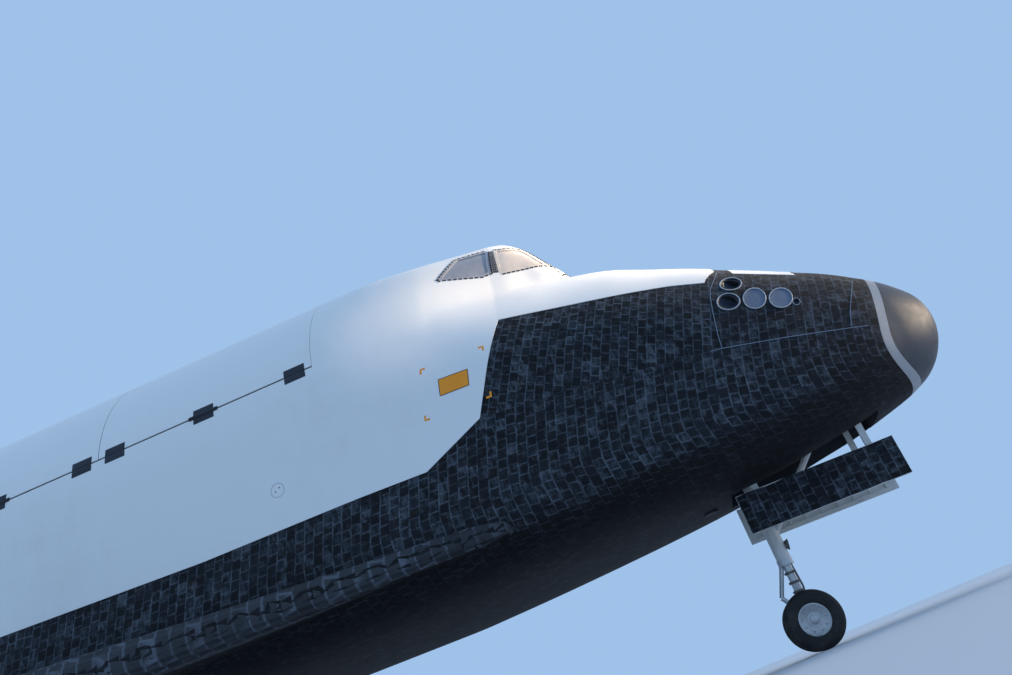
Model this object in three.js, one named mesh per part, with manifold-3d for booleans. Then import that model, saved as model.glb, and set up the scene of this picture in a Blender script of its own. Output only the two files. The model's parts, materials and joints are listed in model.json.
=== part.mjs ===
// A space shuttle orbiter at full size, parked on its landing gear.
// Units are millimetres. The airframe group's own axes are +X towards the nose, +Y to port and +Z up,
// and in it a place is written as a station (the distance aft of the nose tip) and a height above the
// flat belly. The whole airframe then takes its parked stance, a little nose down, over the floor at Z = 0.
import * as THREE from "three";
import { mergeVertices } from "three/addons/utils/BufferGeometryUtils.js";
import Module from "manifold-3d";

const wasm = await Module();
wasm.setup();

// Stance
const STANCE_DEG = 2.1; // nose-down angle of the parked airframe
const NOSE_BELLY_Z = 1990; // height over the floor of the belly line, at the nose tip's station
const CENTRE_X = 18343; // puts the middle of the overall length at X = 0

// Clearances
const SEAT = 0.3; // between two fixed pieces, and at the side faces of a hinge
const RUN = 8; // round a moving piece

// Fuselage stations
const CAP_END = 830; // aft edge of the nose cap, at the height of the tip
const BAND_END = 970; // aft edge of the light band behind it
const TIP_HEIGHT = 1750;
const CAP_LEAN = 0.34; // how far each edge of the cap moves aft for each step down
const BAY_START = 8788; // payload bay doors run from here
const BAY_END = 27076;
const MID_END = 27203;
const AFT_END = 32611; // lower rear edge, just ahead of the body flap

// Payload bay
const HINGE_HEIGHT = 3800; // payload bay door hinge line
const BAY_RADIUS = 2320;
const BAY_AXIS_HEIGHT = 3378;
const DOOR_INNER_RADIUS = 2530;
const DOOR_RADIUS_HEIGHT = 3210; // centre of the doors' curve
const DOOR_SEGMENT = 3658; // one of the five segments of each door
const DOOR_HINGES = 5;

// Hull sections: station, half width, belly, foot of the side, head of the side, crown, and the two
// exponents that round the lower and the upper corners (2 is an ellipse, 4 is nearly square)
const HULL = [
  [12, 95, 1590, 1690, 1702, 1810, 2.0, 2.0],
  [50, 225, 1425, 1690, 1705, 1955, 2.0, 2.0],
  [150, 412, 1215, 1680, 1715, 2130, 2.0, 2.0],
  [305, 577, 1010, 1660, 1725, 2295, 2.05, 2.0],
  [508, 745, 846, 1630, 1742, 2478, 2.1, 2.0],
  [660, 851, 771, 1610, 1758, 2592, 2.15, 2.0],
  [840, 952, 697, 1585, 1775, 2710, 2.2, 2.0],
  [1220, 1162, 594, 1510, 1820, 2940, 2.35, 2.0],
  [1800, 1392, 461, 1415, 1922, 3225, 2.55, 2.0],
  [2400, 1606, 378, 1320, 2006, 3522, 2.75, 2.0],
  [2920, 1764, 294, 1270, 2080, 3790, 2.9, 2.0],
  [3600, 1960, 229, 1200, 2150, 4090, 3.1, 2.0],
  [4300, 2122, 180, 1120, 2260, 4385, 3.3, 2.0],
  [5100, 2284, 135, 1040, 2380, 4560, 3.45, 2.0],
  [6000, 2430, 95, 960, 2560, 4740, 3.6, 2.0],
  [7000, 2545, 55, 900, 2780, 5100, 3.8, 2.0],
  [8000, 2630, 20, 860, 3040, 5560, 3.9, 2.0],
  [8788, 2667, 0, 838, 3210, 5880, 4.0, 2.0],
  [27203, 2667, 0, 838, 3210, 5880, 4.0, 2.0],
  [29200, 2740, 0, 838, 3260, 5985, 4.0, 2.1],
  [31000, 2850, 0, 838, 3330, 6090, 4.0, 2.2],
  [33400, 2960, 40, 838, 3380, 6100, 4.0, 2.3],
];
// Cockpit: a boxier crown that grows out of the nose deck and runs back to the doors' first section
const COCKPIT = [
  [4680, 60, 3700, 3900, 4100, 4515, 2.4, 2.4],
  [4860, 700, 3650, 3900, 4080, 4750, 2.4, 2.4],
  [5100, 1100, 3550, 3850, 4030, 5063, 2.4, 2.4],
  [5450, 1240, 3450, 3780, 3970, 5520, 2.4, 2.45],
  [5700, 1360, 3400, 3700, 3940, 5680, 2.4, 2.5],
  [6000, 1490, 3320, 3620, 3880, 5735, 2.4, 2.5],
  [6500, 1760, 3200, 3500, 3780, 5725, 2.4, 2.5],
  [7100, 2070, 3100, 3400, 3620, 5745, 2.4, 2.45],
  [7900, 2380, 3000, 3300, 3420, 5822, 2.4, 2.25],
  [8788, 2660, 3000, 3200, 3210, 5876, 2.4, 2.0],
];
const LOWER_STEPS = 6;
const UPPER_STEPS = 8;

// Crew hatch, on the port side
const HATCH_STATION = 6700;
const HATCH_HEIGHT = 2100;
const HATCH_RADIUS = 508;
const HATCH_DEPTH = 120;
const HATCH_GAP = 14; // round its edge, so that its inner rim clears as it swings
const HATCH_REBATE = 60; // step that it closes on
const HATCH_KNUCKLE = 34;
const HATCH_KNUCKLE_HALF = 60;
const HATCH_HINGE_HALF = 160;
const HATCH_PIN_OUT = 14; // how far the hinge pin stands off the skin
const HATCHWAY_DEPTH = 680; // of the tunnel behind it

// Wings: span place y, leading edge station, its height, top of the section, underside, and which row
// of the thickness table the section follows
const WING_IN = 1900;
const WING_ROOT = 2667;
const WING_KINK = 4775;
const WING_TIP = 11896;
const WING = [
  [WING_IN, 6700, 480, 1500, 0, 0],
  [WING_ROOT, 6706, 480, 1500, 0, 0],
  [WING_KINK, 20015, 600, 1400, 70, 1],
  [8300, 23540, 800, 1330, 450, 1],
  [WING_TIP, 27134, 1040, 1265, 810, 1],
];
const CHORD_SHARE = [0, 0.004, 0.02, 0.06, 0.14, 0.27, 0.42, 0.6, 0.8, 1];
const THICKNESS = [
  [0, 0.1, 0.17, 0.2, 0.24, 0.33, 0.5, 0.86, 1, 0.5], // long thin glove ahead of the wing proper
  [0, 0.16, 0.34, 0.53, 0.73, 0.9, 0.99, 1, 0.86, 0.6],
];
const EDGE_START_X = 14500; // the grey leading edge starts at this station
const EDGE_DEPTH = 420; // its depth behind the edge

// Elevons
const ELEVON_HINGE = 29235;
const ELEVON_IN = 3100;
const ELEVON_SPLIT = 7940;
const ELEVON_OUT = 11880;
const ELEVON_GAP = 80; // half the gap between the inner and the outer elevon
const elevonRadius = (y) => 350 - 0.0225 * (y - 3000);
const ELEVON_RISE = 0.063; // slope of the hinge line, outboard
const elevonHeight = (y) => 400 + ELEVON_RISE * (y - 3000);
const elevonTrail = (y) => 32746 - 0.1773 * y;
const COVE = 28; // gap between the wing's rear face and an elevon's nose
const LUG = 110; // width of a hinge lug
const LUG_SHARE = 0.6; // radius of a lug, as a share of the nose's radius

// Body flap
const FLAP_HINGE = 32926;
const FLAP_RADIUS = 285;
const FLAP_HEIGHT = 300;
const FLAP_TRAIL = 35077;
const FLAP_HALF = 3000;

// Fin and rudder
const FIN_BASE = 5880;
const FIN_SPAN = 8057;
const FIN_LEAD = 26464;
const FIN_ROOT = 6820;
const FIN_TIP = 2755;
const FIN_SINK = 700; // the fin's root goes this far down, to be cut to the fuselage
const RUDDER_LOW = 1981; // heights over the fin's base of the ends of the hinge line
const RUDDER_HIGH = 7087;
const HINGE_CHORD = 0.6; // the hinge line's share of the chord
const THICK_SHARE = 0.0525; // half thickness there, as a share of the chord
const SPINE_SHARE = 0.88; // radius of the hinge spine, as a share of that half thickness
const FLANGE = 40;

// Engines: name, station and height of the gimbal, side place, pitch and yaw of the bell, and where its
// dome ends along its axis
const MAIN_ENGINES = [
  ["top", 30709, 4470, 0, 16, 0, 1900],
  ["port", 31297, 1921, 1346, 10, 3.5, 1450],
  ["starboard", 31297, 1921, -1346, 10, -3.5, 1450],
];
const MAIN_BELL = { length: 3988, throat: 330, exit: 1165, wall: 45, base: 760 };
const POD_ENGINE = { station: 32563, height: 5715, side: 2235, pitch: 15.8, yaw: 6.5 };
const POD_BELL = { start: 1130, length: 1940, throat: 120, exit: 560, wall: 25, base: 330 };
const SHIELD_LOW = [32600, 250]; // station and height of the foot and head of the sloping base
const SHIELD_HIGH = [31950, 6250];
const SHIELD_THICK = 120;

// Pods on the shoulders: station, side place, height, half width, half depth
const POD = [
  [27300, 1480, 5020, 60, 40],
  [27900, 1560, 5060, 620, 480],
  [28900, 1720, 5140, 980, 800],
  [30200, 1880, 5230, 1230, 1010],
  [31600, 2020, 5300, 1290, 1120],
  [32700, 2150, 5380, 1180, 1090],
  [33500, 2235, 5480, 990, 900],
];

// Flat pads on the belly, for a mount below: station, side place, radius, height of the top and of the face
const FORWARD_PAD = [4250, 0, 110, 400, 150];
const AFT_PAD = [27457, 1500, 150, 200, -12];

// Landing gear
const WHEEL_SIDES = 24; // each tyre stands on one of its flats
const NOSE_WHEEL = { station: 3581, radius: 406, width: 224, spread: 280, rim: 205 };
const MAIN_WHEEL = { station: 23774, radius: 565, width: 406, spread: 430, rim: 290, tread: 3454 };
const NOSE_WELL = { front: 1500, back: 3900, half: 520, roof: 1150 };
const MAIN_WELL = { front: 20300, back: 24300, inner: 2800, outer: 4250, roof: 950 };
const DOOR_PLATE = 60;

const stance = THREE.MathUtils.degToRad(STANCE_DEG);
const STANCE_OF_FLAT = 180 / WHEEL_SIDES - STANCE_DEG; // turns a wheel's flat to the floor

// Tools: shapes as solids that can be joined and cut

function solid(geometry) {
  const bare = new THREE.BufferGeometry().setAttribute("position", geometry.getAttribute("position"));
  if (geometry.index) bare.setIndex(geometry.index);
  const merged = mergeVertices(bare, 1e-3);
  const made = new wasm.Manifold(
    new wasm.Mesh({
      numProp: 3,
      vertProperties: new Float32Array(merged.attributes.position.array),
      triVerts: new Uint32Array(merged.index.array),
    }),
  );
  return made;
}

function geometryOf(shape) {
  const mesh = shape.getMesh();
  const points = new Float32Array(mesh.numVert * 3);
  for (let i = 0; i < mesh.numVert; i++)
    points.set(mesh.vertProperties.subarray(i * mesh.numProp, i * mesh.numProp + 3), i * 3);
  return new THREE.BufferGeometry()
    .setAttribute("position", new THREE.BufferAttribute(points, 3))
    .setIndex(new THREE.BufferAttribute(mesh.triVerts, 1));
}

const place = (station, y, height) => new THREE.Vector3(-station, y, height);

// A closed body through rings of points, its ends closed by fans. The first and the second half of a ring
// take opposite diagonals, so that a ring symmetric about the middle gives a symmetric body.
function loft(rings) {
  const count = rings[0].length;
  const points = rings.flat();
  const faces = [];
  for (let i = 0; i < rings.length - 1; i++)
    for (let j = 0; j < count; j++) {
      const a = i * count + j;
      const b = i * count + ((j + 1) % count);
      if (j < count / 2) faces.push(a, b, b + count, a, b + count, a + count);
      else faces.push(a, b, a + count, b, b + count, a + count);
    }
  for (const [ring, first] of [[rings[0], 0], [rings.at(-1), (rings.length - 1) * count]]) {
    const middle = points.length;
    const centre = ring.reduce((sum, p) => sum.add(p), new THREE.Vector3()).divideScalar(count);
    points.push(centre);
    for (let j = 0; j < count; j++) {
      const edge = [first + j, first + ((j + 1) % count)];
      faces.push(middle, ...(first === 0 ? edge.reverse() : edge));
    }
  }
  let volume = 0;
  for (let i = 0; i < faces.length; i += 3)
    volume += points[faces[i]].dot(points[faces[i + 1]].clone().cross(points[faces[i + 2]]));
  if (volume < 0) faces.reverse();
  const geometry = new THREE.BufferGeometry().setFromPoints(points).setIndex(faces);
  return solid(geometry);
}

function box(x0, x1, y0, y1, z0, z1) {
  const geometry = new THREE.BoxGeometry(x1 - x0, y1 - y0, z1 - z0);
  geometry.translate((x0 + x1) / 2, (y0 + y1) / 2, (z0 + z1) / 2);
  return solid(geometry);
}

// A round bar or cone from one point to another
function bar(from, to, r0, r1 = r0, sides = 16) {
  const along = to.clone().sub(from);
  const geometry = new THREE.CylinderGeometry(r1, r0, along.length(), sides);
  geometry.translate(0, along.length() / 2, 0);
  const turn = new THREE.Quaternion().setFromUnitVectors(new THREE.Vector3(0, 1, 0), along.normalize());
  geometry.applyQuaternion(turn);
  geometry.translate(from.x, from.y, from.z);
  return solid(geometry);
}

// An outline of [station, height] pairs, as thick as the stretch from y0 to y1
function sidePlate(outline, y0, y1) {
  const shape = new THREE.Shape(outline.map(([s, h]) => new THREE.Vector2(-s, h)));
  const geometry = new THREE.ExtrudeGeometry(shape, { depth: y1 - y0, bevelEnabled: false });
  geometry.rotateX(Math.PI / 2);
  geometry.translate(0, y1, 0);
  return solid(geometry);
}

// An outline of [station, y] pairs, as high as the stretch from z0 to z1
function planPlate(outline, z0, z1) {
  const shape = new THREE.Shape(outline.map(([s, y]) => new THREE.Vector2(-s, y)));
  const geometry = new THREE.ExtrudeGeometry(shape, { depth: z1 - z0, bevelEnabled: false });
  geometry.translate(0, 0, z0);
  return solid(geometry);
}

// A turned body from [radius, distance] pairs along an axis that starts at a point
function turned(profile, from, direction, sides) {
  const geometry = new THREE.LatheGeometry(profile.map(([r, d]) => new THREE.Vector2(r, d)), sides);
  const turn = new THREE.Quaternion().setFromUnitVectors(new THREE.Vector3(0, 1, 0), direction.clone().normalize());
  geometry.applyQuaternion(turn);
  geometry.translate(from.x, from.y, from.z);
  const made = solid(geometry);
  if (made.volume() > 0) return made;
  geometry.index.array.reverse();
  return solid(geometry);
}

// A flat outline drawn in towards its middle
function shrunk(outline, by) {
  const n = outline.length;
  const [cs, ch] = [0, 1].map((k) => outline.reduce((sum, p) => sum + p[k], 0) / n);
  return outline.map(([s, h]) => {
    const far = Math.hypot(s - cs, h - ch);
    return [s - ((s - cs) * by) / far, h - ((h - ch) * by) / far];
  });
}

const mirrored = (shape) => shape.mirror([0, 1, 0]);
const join = (...shapes) => shapes.reduce((sum, shape) => sum.add(shape));
const cut = (shape, ...tools) => tools.reduce((rest, tool) => rest.subtract(tool), shape);

// Hull

// One ring of a section, grown by an offset
function sectionRing([station, half, belly, foot, head, crown, low, high], grow = 0) {
  const side = [];
  const quarter = Math.PI / 2;
  const wide = half + grow;
  for (let k = 0; k <= LOWER_STEPS; k++) {
    const t = (k / LOWER_STEPS) * quarter;
    side.push([wide * Math.sin(t) ** (2 / low), foot - (foot - belly + grow) * Math.cos(t) ** (2 / low)]);
  }
  for (let k = 0; k <= UPPER_STEPS; k++) {
    const t = (k / UPPER_STEPS) * quarter;
    side.push([wide * Math.cos(t) ** (2 / high), head + (crown - head + grow) * Math.sin(t) ** (2 / high)]);
  }
  side[0][0] = 0;
  side.at(-1)[0] = 0;
  const other = side.slice(1, -1).reverse().map(([y, z]) => [-y, z]);
  return [...side, ...other].map(([y, z]) => place(station, y, z));
}

function sectionAt(table, station) {
  const next = table.findIndex((row) => row[0] >= station);
  if (next <= 0) return [station, ...table[0].slice(1)];
  const [a, b] = [table[next - 1], table[next]];
  const share = (station - a[0]) / (b[0] - a[0]);
  return a.map((value, i) => value + share * (b[i] - value));
}

// The stretch of a hull table between two stations
function hullBetween(table, from, to, grow = 0) {
  const rows = [sectionAt(table, from)];
  rows.push(...table.filter((row) => row[0] > from + 1 && row[0] < to - 1));
  rows.push(sectionAt(table, to));
  return loft(rows.map((row) => sectionRing(row, grow)));
}

const BIG = 50000;
const parts = {};

// Nose cap and band: both edges lean, so that the cap reaches further aft under the nose
const leanLine = (station, height) => [station + CAP_LEAN * (TIP_HEIGHT - height), height];
const leanSlab = (from, to) =>
  sidePlate([leanLine(from, -1000), leanLine(from, 5000), leanLine(to, 5000), leanLine(to, -1000)], -3000, 3000);
const noseWhole = hullBetween(HULL, HULL[0][0], BAY_START - SEAT);
parts.nose_cap = noseWhole.intersect(leanSlab(-4000, CAP_END));
parts.nose_cap_band = noseWhole.intersect(leanSlab(CAP_END + SEAT, BAND_END));

// Forward thrusters: station, side place, height, direction of the jet, and radius of the mouth
const SIDE_JETS = [
  [2675, 1451, 2875, [0.15, 1, 0.45], 125],
  [2858, 1676, 2543, [0.15, 1, 0.2], 125],
  [2491, 1559, 2481, [0.2, 1, 0.2], 125],
  [2141, 1452, 2371, [0.25, 1, 0.15], 125],
  [1969, 1419, 2238, [0.3, 1, 0.1], 45],
];
const TOP_JETS = [
  [2450, 366, 3500, [0.35, 0.05, 1], 120],
  [2450, 0, 3545, [0.35, 0, 1], 120],
  [2450, -366, 3500, [0.35, -0.05, 1], 120],
  [1650, 372, 3110, [0.5, 0.1, 1], 130],
  [1650, 0, 3150, [0.5, 0, 1], 130],
  [1650, -372, 3110, [0.5, -0.1, 1], 130],
];
// The module's outline seen from the side, as [station, height]
const MODULE = [[1204, 1580], [3262, 1860], [3074, 2670], [2760, 3200], [2700, 5000], [700, 5000], [957, 2435], [1200, 2094]];
const JET_DEPTH = 160;
function jetHole([station, y, height, way, radius]) {
  const out = new THREE.Vector3(...way).normalize();
  const mouth = place(station, y, height);
  return bar(mouth.clone().addScaledVector(out, -JET_DEPTH), mouth.addScaledVector(out, 400), radius, radius, 10);
}
const jets = TOP_JETS.map(jetHole);
for (const row of SIDE_JETS) {
  const hole = jetHole(row);
  jets.push(hole, mirrored(hole));
}
const nose = cut(noseWhole, leanSlab(-4000, BAND_END + SEAT));
const module = sidePlate(shrunk(MODULE, SEAT), -3000, 3000);
const moduleRoom = sidePlate(MODULE, -3000, 3000);
parts.forward_thruster_module = cut(nose.intersect(module), ...jets);

// Forward fuselage with its cockpit, hatchway and nose gear well
const cockpit = hullBetween(COCKPIT, COCKPIT[0][0], BAY_START - SEAT);
const [hatchFore, hatchAft] = [-HATCH_RADIUS, HATCH_RADIUS].map((d) => sectionAt(HULL, HATCH_STATION + d)[1]);
const hatchSlant = new THREE.Vector3(-2 * HATCH_RADIUS, hatchAft - hatchFore, 0).normalize();
const hatchOut = new THREE.Vector3(hatchSlant.y, -hatchSlant.x, 0); // square to the skin there
const hatchMiddle = place(HATCH_STATION, (hatchAft + hatchFore) / 2, HATCH_HEIGHT);
// A round bar through the hatch, from a depth under the skin to well outside it
const hatchRound = (depth, radius) =>
  bar(
    hatchMiddle.clone().addScaledVector(hatchOut, -depth),
    hatchMiddle.clone().addScaledVector(hatchOut, 1500),
    radius,
    radius,
    24,
  );
const hatchHole = hatchRound(HATCHWAY_DEPTH, HATCH_RADIUS);
const hatchBore = hatchRound(HATCHWAY_DEPTH, HATCH_RADIUS - HATCH_REBATE);
const noseWell = box(-NOSE_WELL.back, -NOSE_WELL.front, -NOSE_WELL.half, NOSE_WELL.half, -500, NOSE_WELL.roof);
const cabin = join(nose, cockpit);

// Window panes: outlines on the cockpit as [station, height] seen from the side, or [station, y] from above
const PANE_DEPTH = 60;
const PANE_EDGE = 6;
const SIDE_PANE = [[6710, 4812], [6416, 5250], [5928, 5300], [5977, 4738], [6110, 4707]];
const QUARTER_PANE = [[5780, 5255], [5393, 5225], [5095, 4722], [5797, 4679]];
const FRONT_PANE = [[4800, 60], [5400, 60], [5385, 590], [5075, 770], [4960, 720]];
const ROOF_PANE = [[6300, 250], [6900, 250], [6900, 800], [6300, 800]];
const skinUnder = (grow) => hullBetween(COCKPIT, COCKPIT[0][0], BAY_START - SEAT, grow);
const paneFloor = skinUnder(-PANE_DEPTH);
const paneBack = skinUnder(-PANE_DEPTH + SEAT);
const paneCutters = [];
for (const [name, outline, plate, low, high] of [
  ["side_window", SIDE_PANE, sidePlate, 900, 2600],
  ["quarter_windshield", QUARTER_PANE, sidePlate, 500, 2200],
  ["centre_windshield", FRONT_PANE, planPlate, 4000, 5700],
  ["overhead_window", ROOF_PANE, planPlate, 4900, 6200],
]) {
  const frame = cut(plate(outline, low, high), paneFloor);
  const pane = cut(plate(shrunk(outline, PANE_EDGE), low, high).intersect(cockpit), paneBack);
  paneCutters.push(frame, mirrored(frame));
  parts[name + "_port"] = pane;
  parts[name + "_starboard"] = mirrored(pane);
}
const hatchPin = hatchMiddle
  .clone()
  .addScaledVector(hatchOut, HATCH_PIN_OUT)
  .add(new THREE.Vector3(0, 0, -HATCH_RADIUS));
const hatchBar = (from, to, radius) =>
  bar(
    hatchPin.clone().addScaledVector(hatchSlant, from),
    hatchPin.clone().addScaledVector(hatchSlant, to),
    radius,
    radius,
    10,
  );
const forwardShell = cut(
  cabin,
  moduleRoom,
  hatchBore,
  cut(hatchHole, hullBetween(HULL, 5000, 8700, -HATCH_DEPTH - SEAT)),
  noseWell,
  ...paneCutters,
  hatchBar(-HATCH_KNUCKLE_HALF - SEAT, HATCH_KNUCKLE_HALF + SEAT, HATCH_KNUCKLE + RUN),
);
// A flat pad on the belly, where the craft is held from below
const bellyPad = ([station, y, radius, top, foot]) =>
  bar(place(station, y, top), place(station, y, foot), radius, radius, 20);
parts.forward_fuselage = join(
  forwardShell,
  hatchBar(-HATCH_HINGE_HALF, -HATCH_KNUCKLE_HALF - SEAT, HATCH_KNUCKLE),
  hatchBar(HATCH_KNUCKLE_HALF + SEAT, HATCH_HINGE_HALF, HATCH_KNUCKLE),
  bellyPad(FORWARD_PAD),
);
parts.crew_hatch = join(
  cut(
    hatchRound(HATCHWAY_DEPTH, HATCH_RADIUS - HATCH_GAP).intersect(cabin),
    hullBetween(HULL, 5000, 8700, -HATCH_DEPTH),
    hatchBar(-HATCH_HINGE_HALF - RUN, -HATCH_KNUCKLE_HALF, HATCH_KNUCKLE + RUN),
    hatchBar(HATCH_KNUCKLE_HALF, HATCH_HINGE_HALF + RUN, HATCH_KNUCKLE + RUN),
  ),
  hatchBar(-HATCH_KNUCKLE_HALF, HATCH_KNUCKLE_HALF, HATCH_KNUCKLE),
);

// Mid fuselage: an open trough, and the two doors that close it
const barrel = hullBetween(HULL, BAY_START, MID_END);
const bayEnd = (station, height) => place(station, 0, height);
const bayHollow = join(
  bar(bayEnd(BAY_START - 10, BAY_AXIS_HEIGHT), bayEnd(MID_END + 10, BAY_AXIS_HEIGHT), BAY_RADIUS, BAY_RADIUS, 32),
  box(-MID_END - 10, -BAY_START + 10, -BAY_RADIUS, BAY_RADIUS, BAY_AXIS_HEIGHT, BIG),
);
const hingeSection = sectionAt(HULL, BAY_START);
const hingeOut = hingeSection[1] * Math.sqrt(1 - ((HINGE_HEIGHT - hingeSection[4]) / (hingeSection[5] - hingeSection[4])) ** 2);
const HINGE_Y = hingeOut + 6;
const KNUCKLE = 34; // radius of a hinge knuckle
const KNUCKLE_LENGTH = 160;
const NOTCH = KNUCKLE + 8;
const hingeBar = (from, to, radius) =>
  bar(place(from, HINGE_Y, HINGE_HEIGHT), place(to, HINGE_Y, HINGE_HEIGHT), radius, radius, 10);
const bodyKnuckles = [];
const bodyNotches = [];
const doorKnuckles = [];
const doorNotches = [];
for (let i = 0; i < DOOR_HINGES; i++) {
  const middle = BAY_START + DOOR_SEGMENT * (i + 0.5);
  const [a, b] = [middle - KNUCKLE_LENGTH / 2, middle + KNUCKLE_LENGTH / 2];
  doorKnuckles.push(hingeBar(a, b, KNUCKLE));
  bodyNotches.push(hingeBar(a - SEAT, b + SEAT, NOTCH));
  for (const [c, d] of [[a - KNUCKLE_LENGTH, a], [b, b + KNUCKLE_LENGTH]]) {
    bodyKnuckles.push(hingeBar(c + SEAT, d - SEAT, KNUCKLE));
    doorNotches.push(hingeBar(c - RUN * (c < a - 1 ? 1 : 0), d + RUN * (c > b - 1 ? 1 : 0), NOTCH));
  }
}
const sill = cut(barrel, box(-BIG, BIG, -BIG, BIG, HINGE_HEIGHT - 4, BIG), bayHollow);
const both = (shapes) => [...shapes, ...shapes.map(mirrored)];
parts.mid_fuselage = join(cut(sill, ...both(bodyNotches)), ...both(bodyKnuckles));
const doorCurve = bar(
  bayEnd(BAY_START - 10, DOOR_RADIUS_HEIGHT),
  bayEnd(MID_END, DOOR_RADIUS_HEIGHT),
  DOOR_INNER_RADIUS,
  DOOR_INNER_RADIUS,
  36,
);
const doorShell = cut(
  barrel.intersect(box(-BAY_END + RUN, -BAY_START - RUN, RUN / 2, BIG, HINGE_HEIGHT + 4, BIG)),
  doorCurve,
);
const door = join(cut(doorShell, ...doorNotches), ...doorKnuckles);
parts.bay_door_port = door;
parts.bay_door_starboard = mirrored(door);

// Aft fuselage, cut along the sloping base, with the ring behind the doors
const shieldLine = (height, behind) => {
  const share = (height - SHIELD_LOW[1]) / (SHIELD_HIGH[1] - SHIELD_LOW[1]);
  return [SHIELD_LOW[0] + share * (SHIELD_HIGH[0] - SHIELD_LOW[0]) + behind, height];
};
const behindBase = (behind) => sidePlate(
  [shieldLine(-3000, behind), shieldLine(9000, behind), [BIG, 9000], [BIG, -3000]],
  -BIG,
  BIG,
);
const tail = (grow) => hullBetween(HULL, MID_END + SEAT, HULL.at(-1)[0], grow);
const ring = cut(
  hullBetween(HULL, BAY_END, MID_END + 200),
  box(-MID_END - SEAT, BIG, -BIG, BIG, -BIG, HINGE_HEIGHT - 4 + SEAT),
  doorCurve,
);
const flapLug = (y, radius) =>
  join(
    bar(place(FLAP_HINGE, y - LUG / 2, FLAP_HEIGHT), place(FLAP_HINGE, y + LUG / 2, FLAP_HEIGHT), radius, radius, 14),
    box(-FLAP_HINGE, -AFT_END + 200, y - LUG / 2, y + LUG / 2, FLAP_HEIGHT - radius / 2, FLAP_HEIGHT + radius / 2),
  );
const FLAP_LUGS = [-2300, -800, 800, 2300];
const aftBody = cut(tail(0), behindBase(0), box(-BIG, -AFT_END, -BIG, BIG, -BIG, 700));
parts.aft_fuselage = join(
  aftBody,
  ring,
  ...FLAP_LUGS.map((y) => flapLug(y, FLAP_RADIUS * LUG_SHARE)),
  bellyPad(AFT_PAD),
  mirrored(bellyPad(AFT_PAD)),
);

// Base heat shield with a dome round each engine
const shieldAxis = ([, station, height, side, pitch, yaw]) => {
  const p = THREE.MathUtils.degToRad(pitch);
  const w = THREE.MathUtils.degToRad(yaw);
  const way = new THREE.Vector3(-Math.cos(p) * Math.cos(w), Math.sin(w), Math.sin(p) * Math.cos(w));
  return [place(station, side, height), way];
};
const basePlate = cut(
  tail(-40).intersect(cut(behindBase(SEAT), behindBase(SHIELD_THICK))),
  box(-BIG, BIG, -BIG, BIG, -BIG, 720),
);
const domes = MAIN_ENGINES.map((row) => {
  const [from, way] = shieldAxis(row);
  const at = (d) => from.clone().addScaledVector(way, d);
  return bar(at(600), at(row.at(-1)), 1180, MAIN_BELL.base + 60, 24);
});
parts.base_heat_shield = join(basePlate, ...domes.map((dome) => cut(dome, tail(0).subtract(behindBase(SEAT)))));

// Bells: a thin cone that opens aft, on a stub against its dome
function bell({ start, length, throat, exit, wall, base }, from, way, sides) {
  const run = length - start;
  const curve = [0, 0.15, 0.42, 0.72, 1];
  const radius = (share) => throat + (exit - throat) * Math.sin((share * Math.PI) / 2) ** 0.85;
  const neck = run * 0.16;
  const outer = curve.map((s) => [radius(s) + wall, start + neck + s * (run - neck)]);
  const inner = curve.map((s) => [radius(s), start + neck + s * (run - neck)]).reverse();
  const profile = [
    [0, start + SEAT],
    [base, start + SEAT],
    [base * 0.8, start + neck * 0.7],
    ...outer,
    ...inner,
    [0, start + neck],
  ];
  return turned(profile, from, way, sides);
}
for (const row of MAIN_ENGINES) {
  const [from, way] = shieldAxis(row);
  parts["main_engine_" + row[0]] = bell({ start: row.at(-1), ...MAIN_BELL }, from, way, 24);
}

// Pods, cut to the fuselage's shoulders
const podRing = ([station, side, height, half, deep]) => {
  const points = [];
  for (let k = 0; k < 20; k++) {
    const t = (k / 20) * 2 * Math.PI;
    points.push(place(station, side + half * Math.cos(t), height + deep * Math.sin(t)));
  }
  return points;
};
const finRoom = box(-BIG, BIG, -BIG, 560, -BIG, BIG);
const podSolid = cut(loft(POD.map(podRing)), tail(SEAT), finRoom, box(-BIG, BIG, -BIG, BIG, -BIG, 3900));
const podBody = cut(podSolid, box(-MID_END - 10, BIG, -BIG, BIG, -BIG, BIG));
const podAxis = shieldAxis(["", POD_ENGINE.station, POD_ENGINE.height, POD_ENGINE.side, POD_ENGINE.pitch, POD_ENGINE.yaw]);
const podEngine = bell(POD_BELL, ...podAxis, 16);
const podSeat = bar(
  podAxis[0],
  podAxis[0].clone().addScaledVector(podAxis[1], POD_BELL.start),
  700,
  POD_BELL.base + 40,
  20,
);
parts.pod_port = join(podBody, cut(podSeat, tail(SEAT)));
parts.pod_starboard = mirrored(parts.pod_port);
parts.pod_engine_port = podEngine;
parts.pod_engine_starboard = mirrored(podEngine);

// Fin, with a slot for the rudder
const finChord = (height) => FIN_ROOT + ((FIN_TIP - FIN_ROOT) * height) / FIN_SPAN;
const finLead = (height) => FIN_LEAD + height;
const finHinge = (height) => finLead(height) + HINGE_CHORD * finChord(height);
function finRing(height) {
  const chord = finChord(height);
  const lead = finLead(height);
  const thick = chord * THICK_SHARE;
  const side = [
    [lead, 12],
    [lead + 0.012 * chord, 0.012 * chord + 20],
    [lead + 0.3 * chord, thick * 0.56],
    [lead + HINGE_CHORD * chord, thick],
    [lead + chord, 18],
  ];
  const points = side.map(([s, y]) => place(s, y, FIN_BASE + height));
  return [...points, ...side.reverse().map(([s, y]) => place(s, -y, FIN_BASE + height))];
}
const finWhole = loft([-FIN_SINK, 0, FIN_SPAN].map(finRing));
const axisPoint = (height) => place(finHinge(height), 0, FIN_BASE + height);
const hingeLow = axisPoint(RUDDER_LOW);
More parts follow.
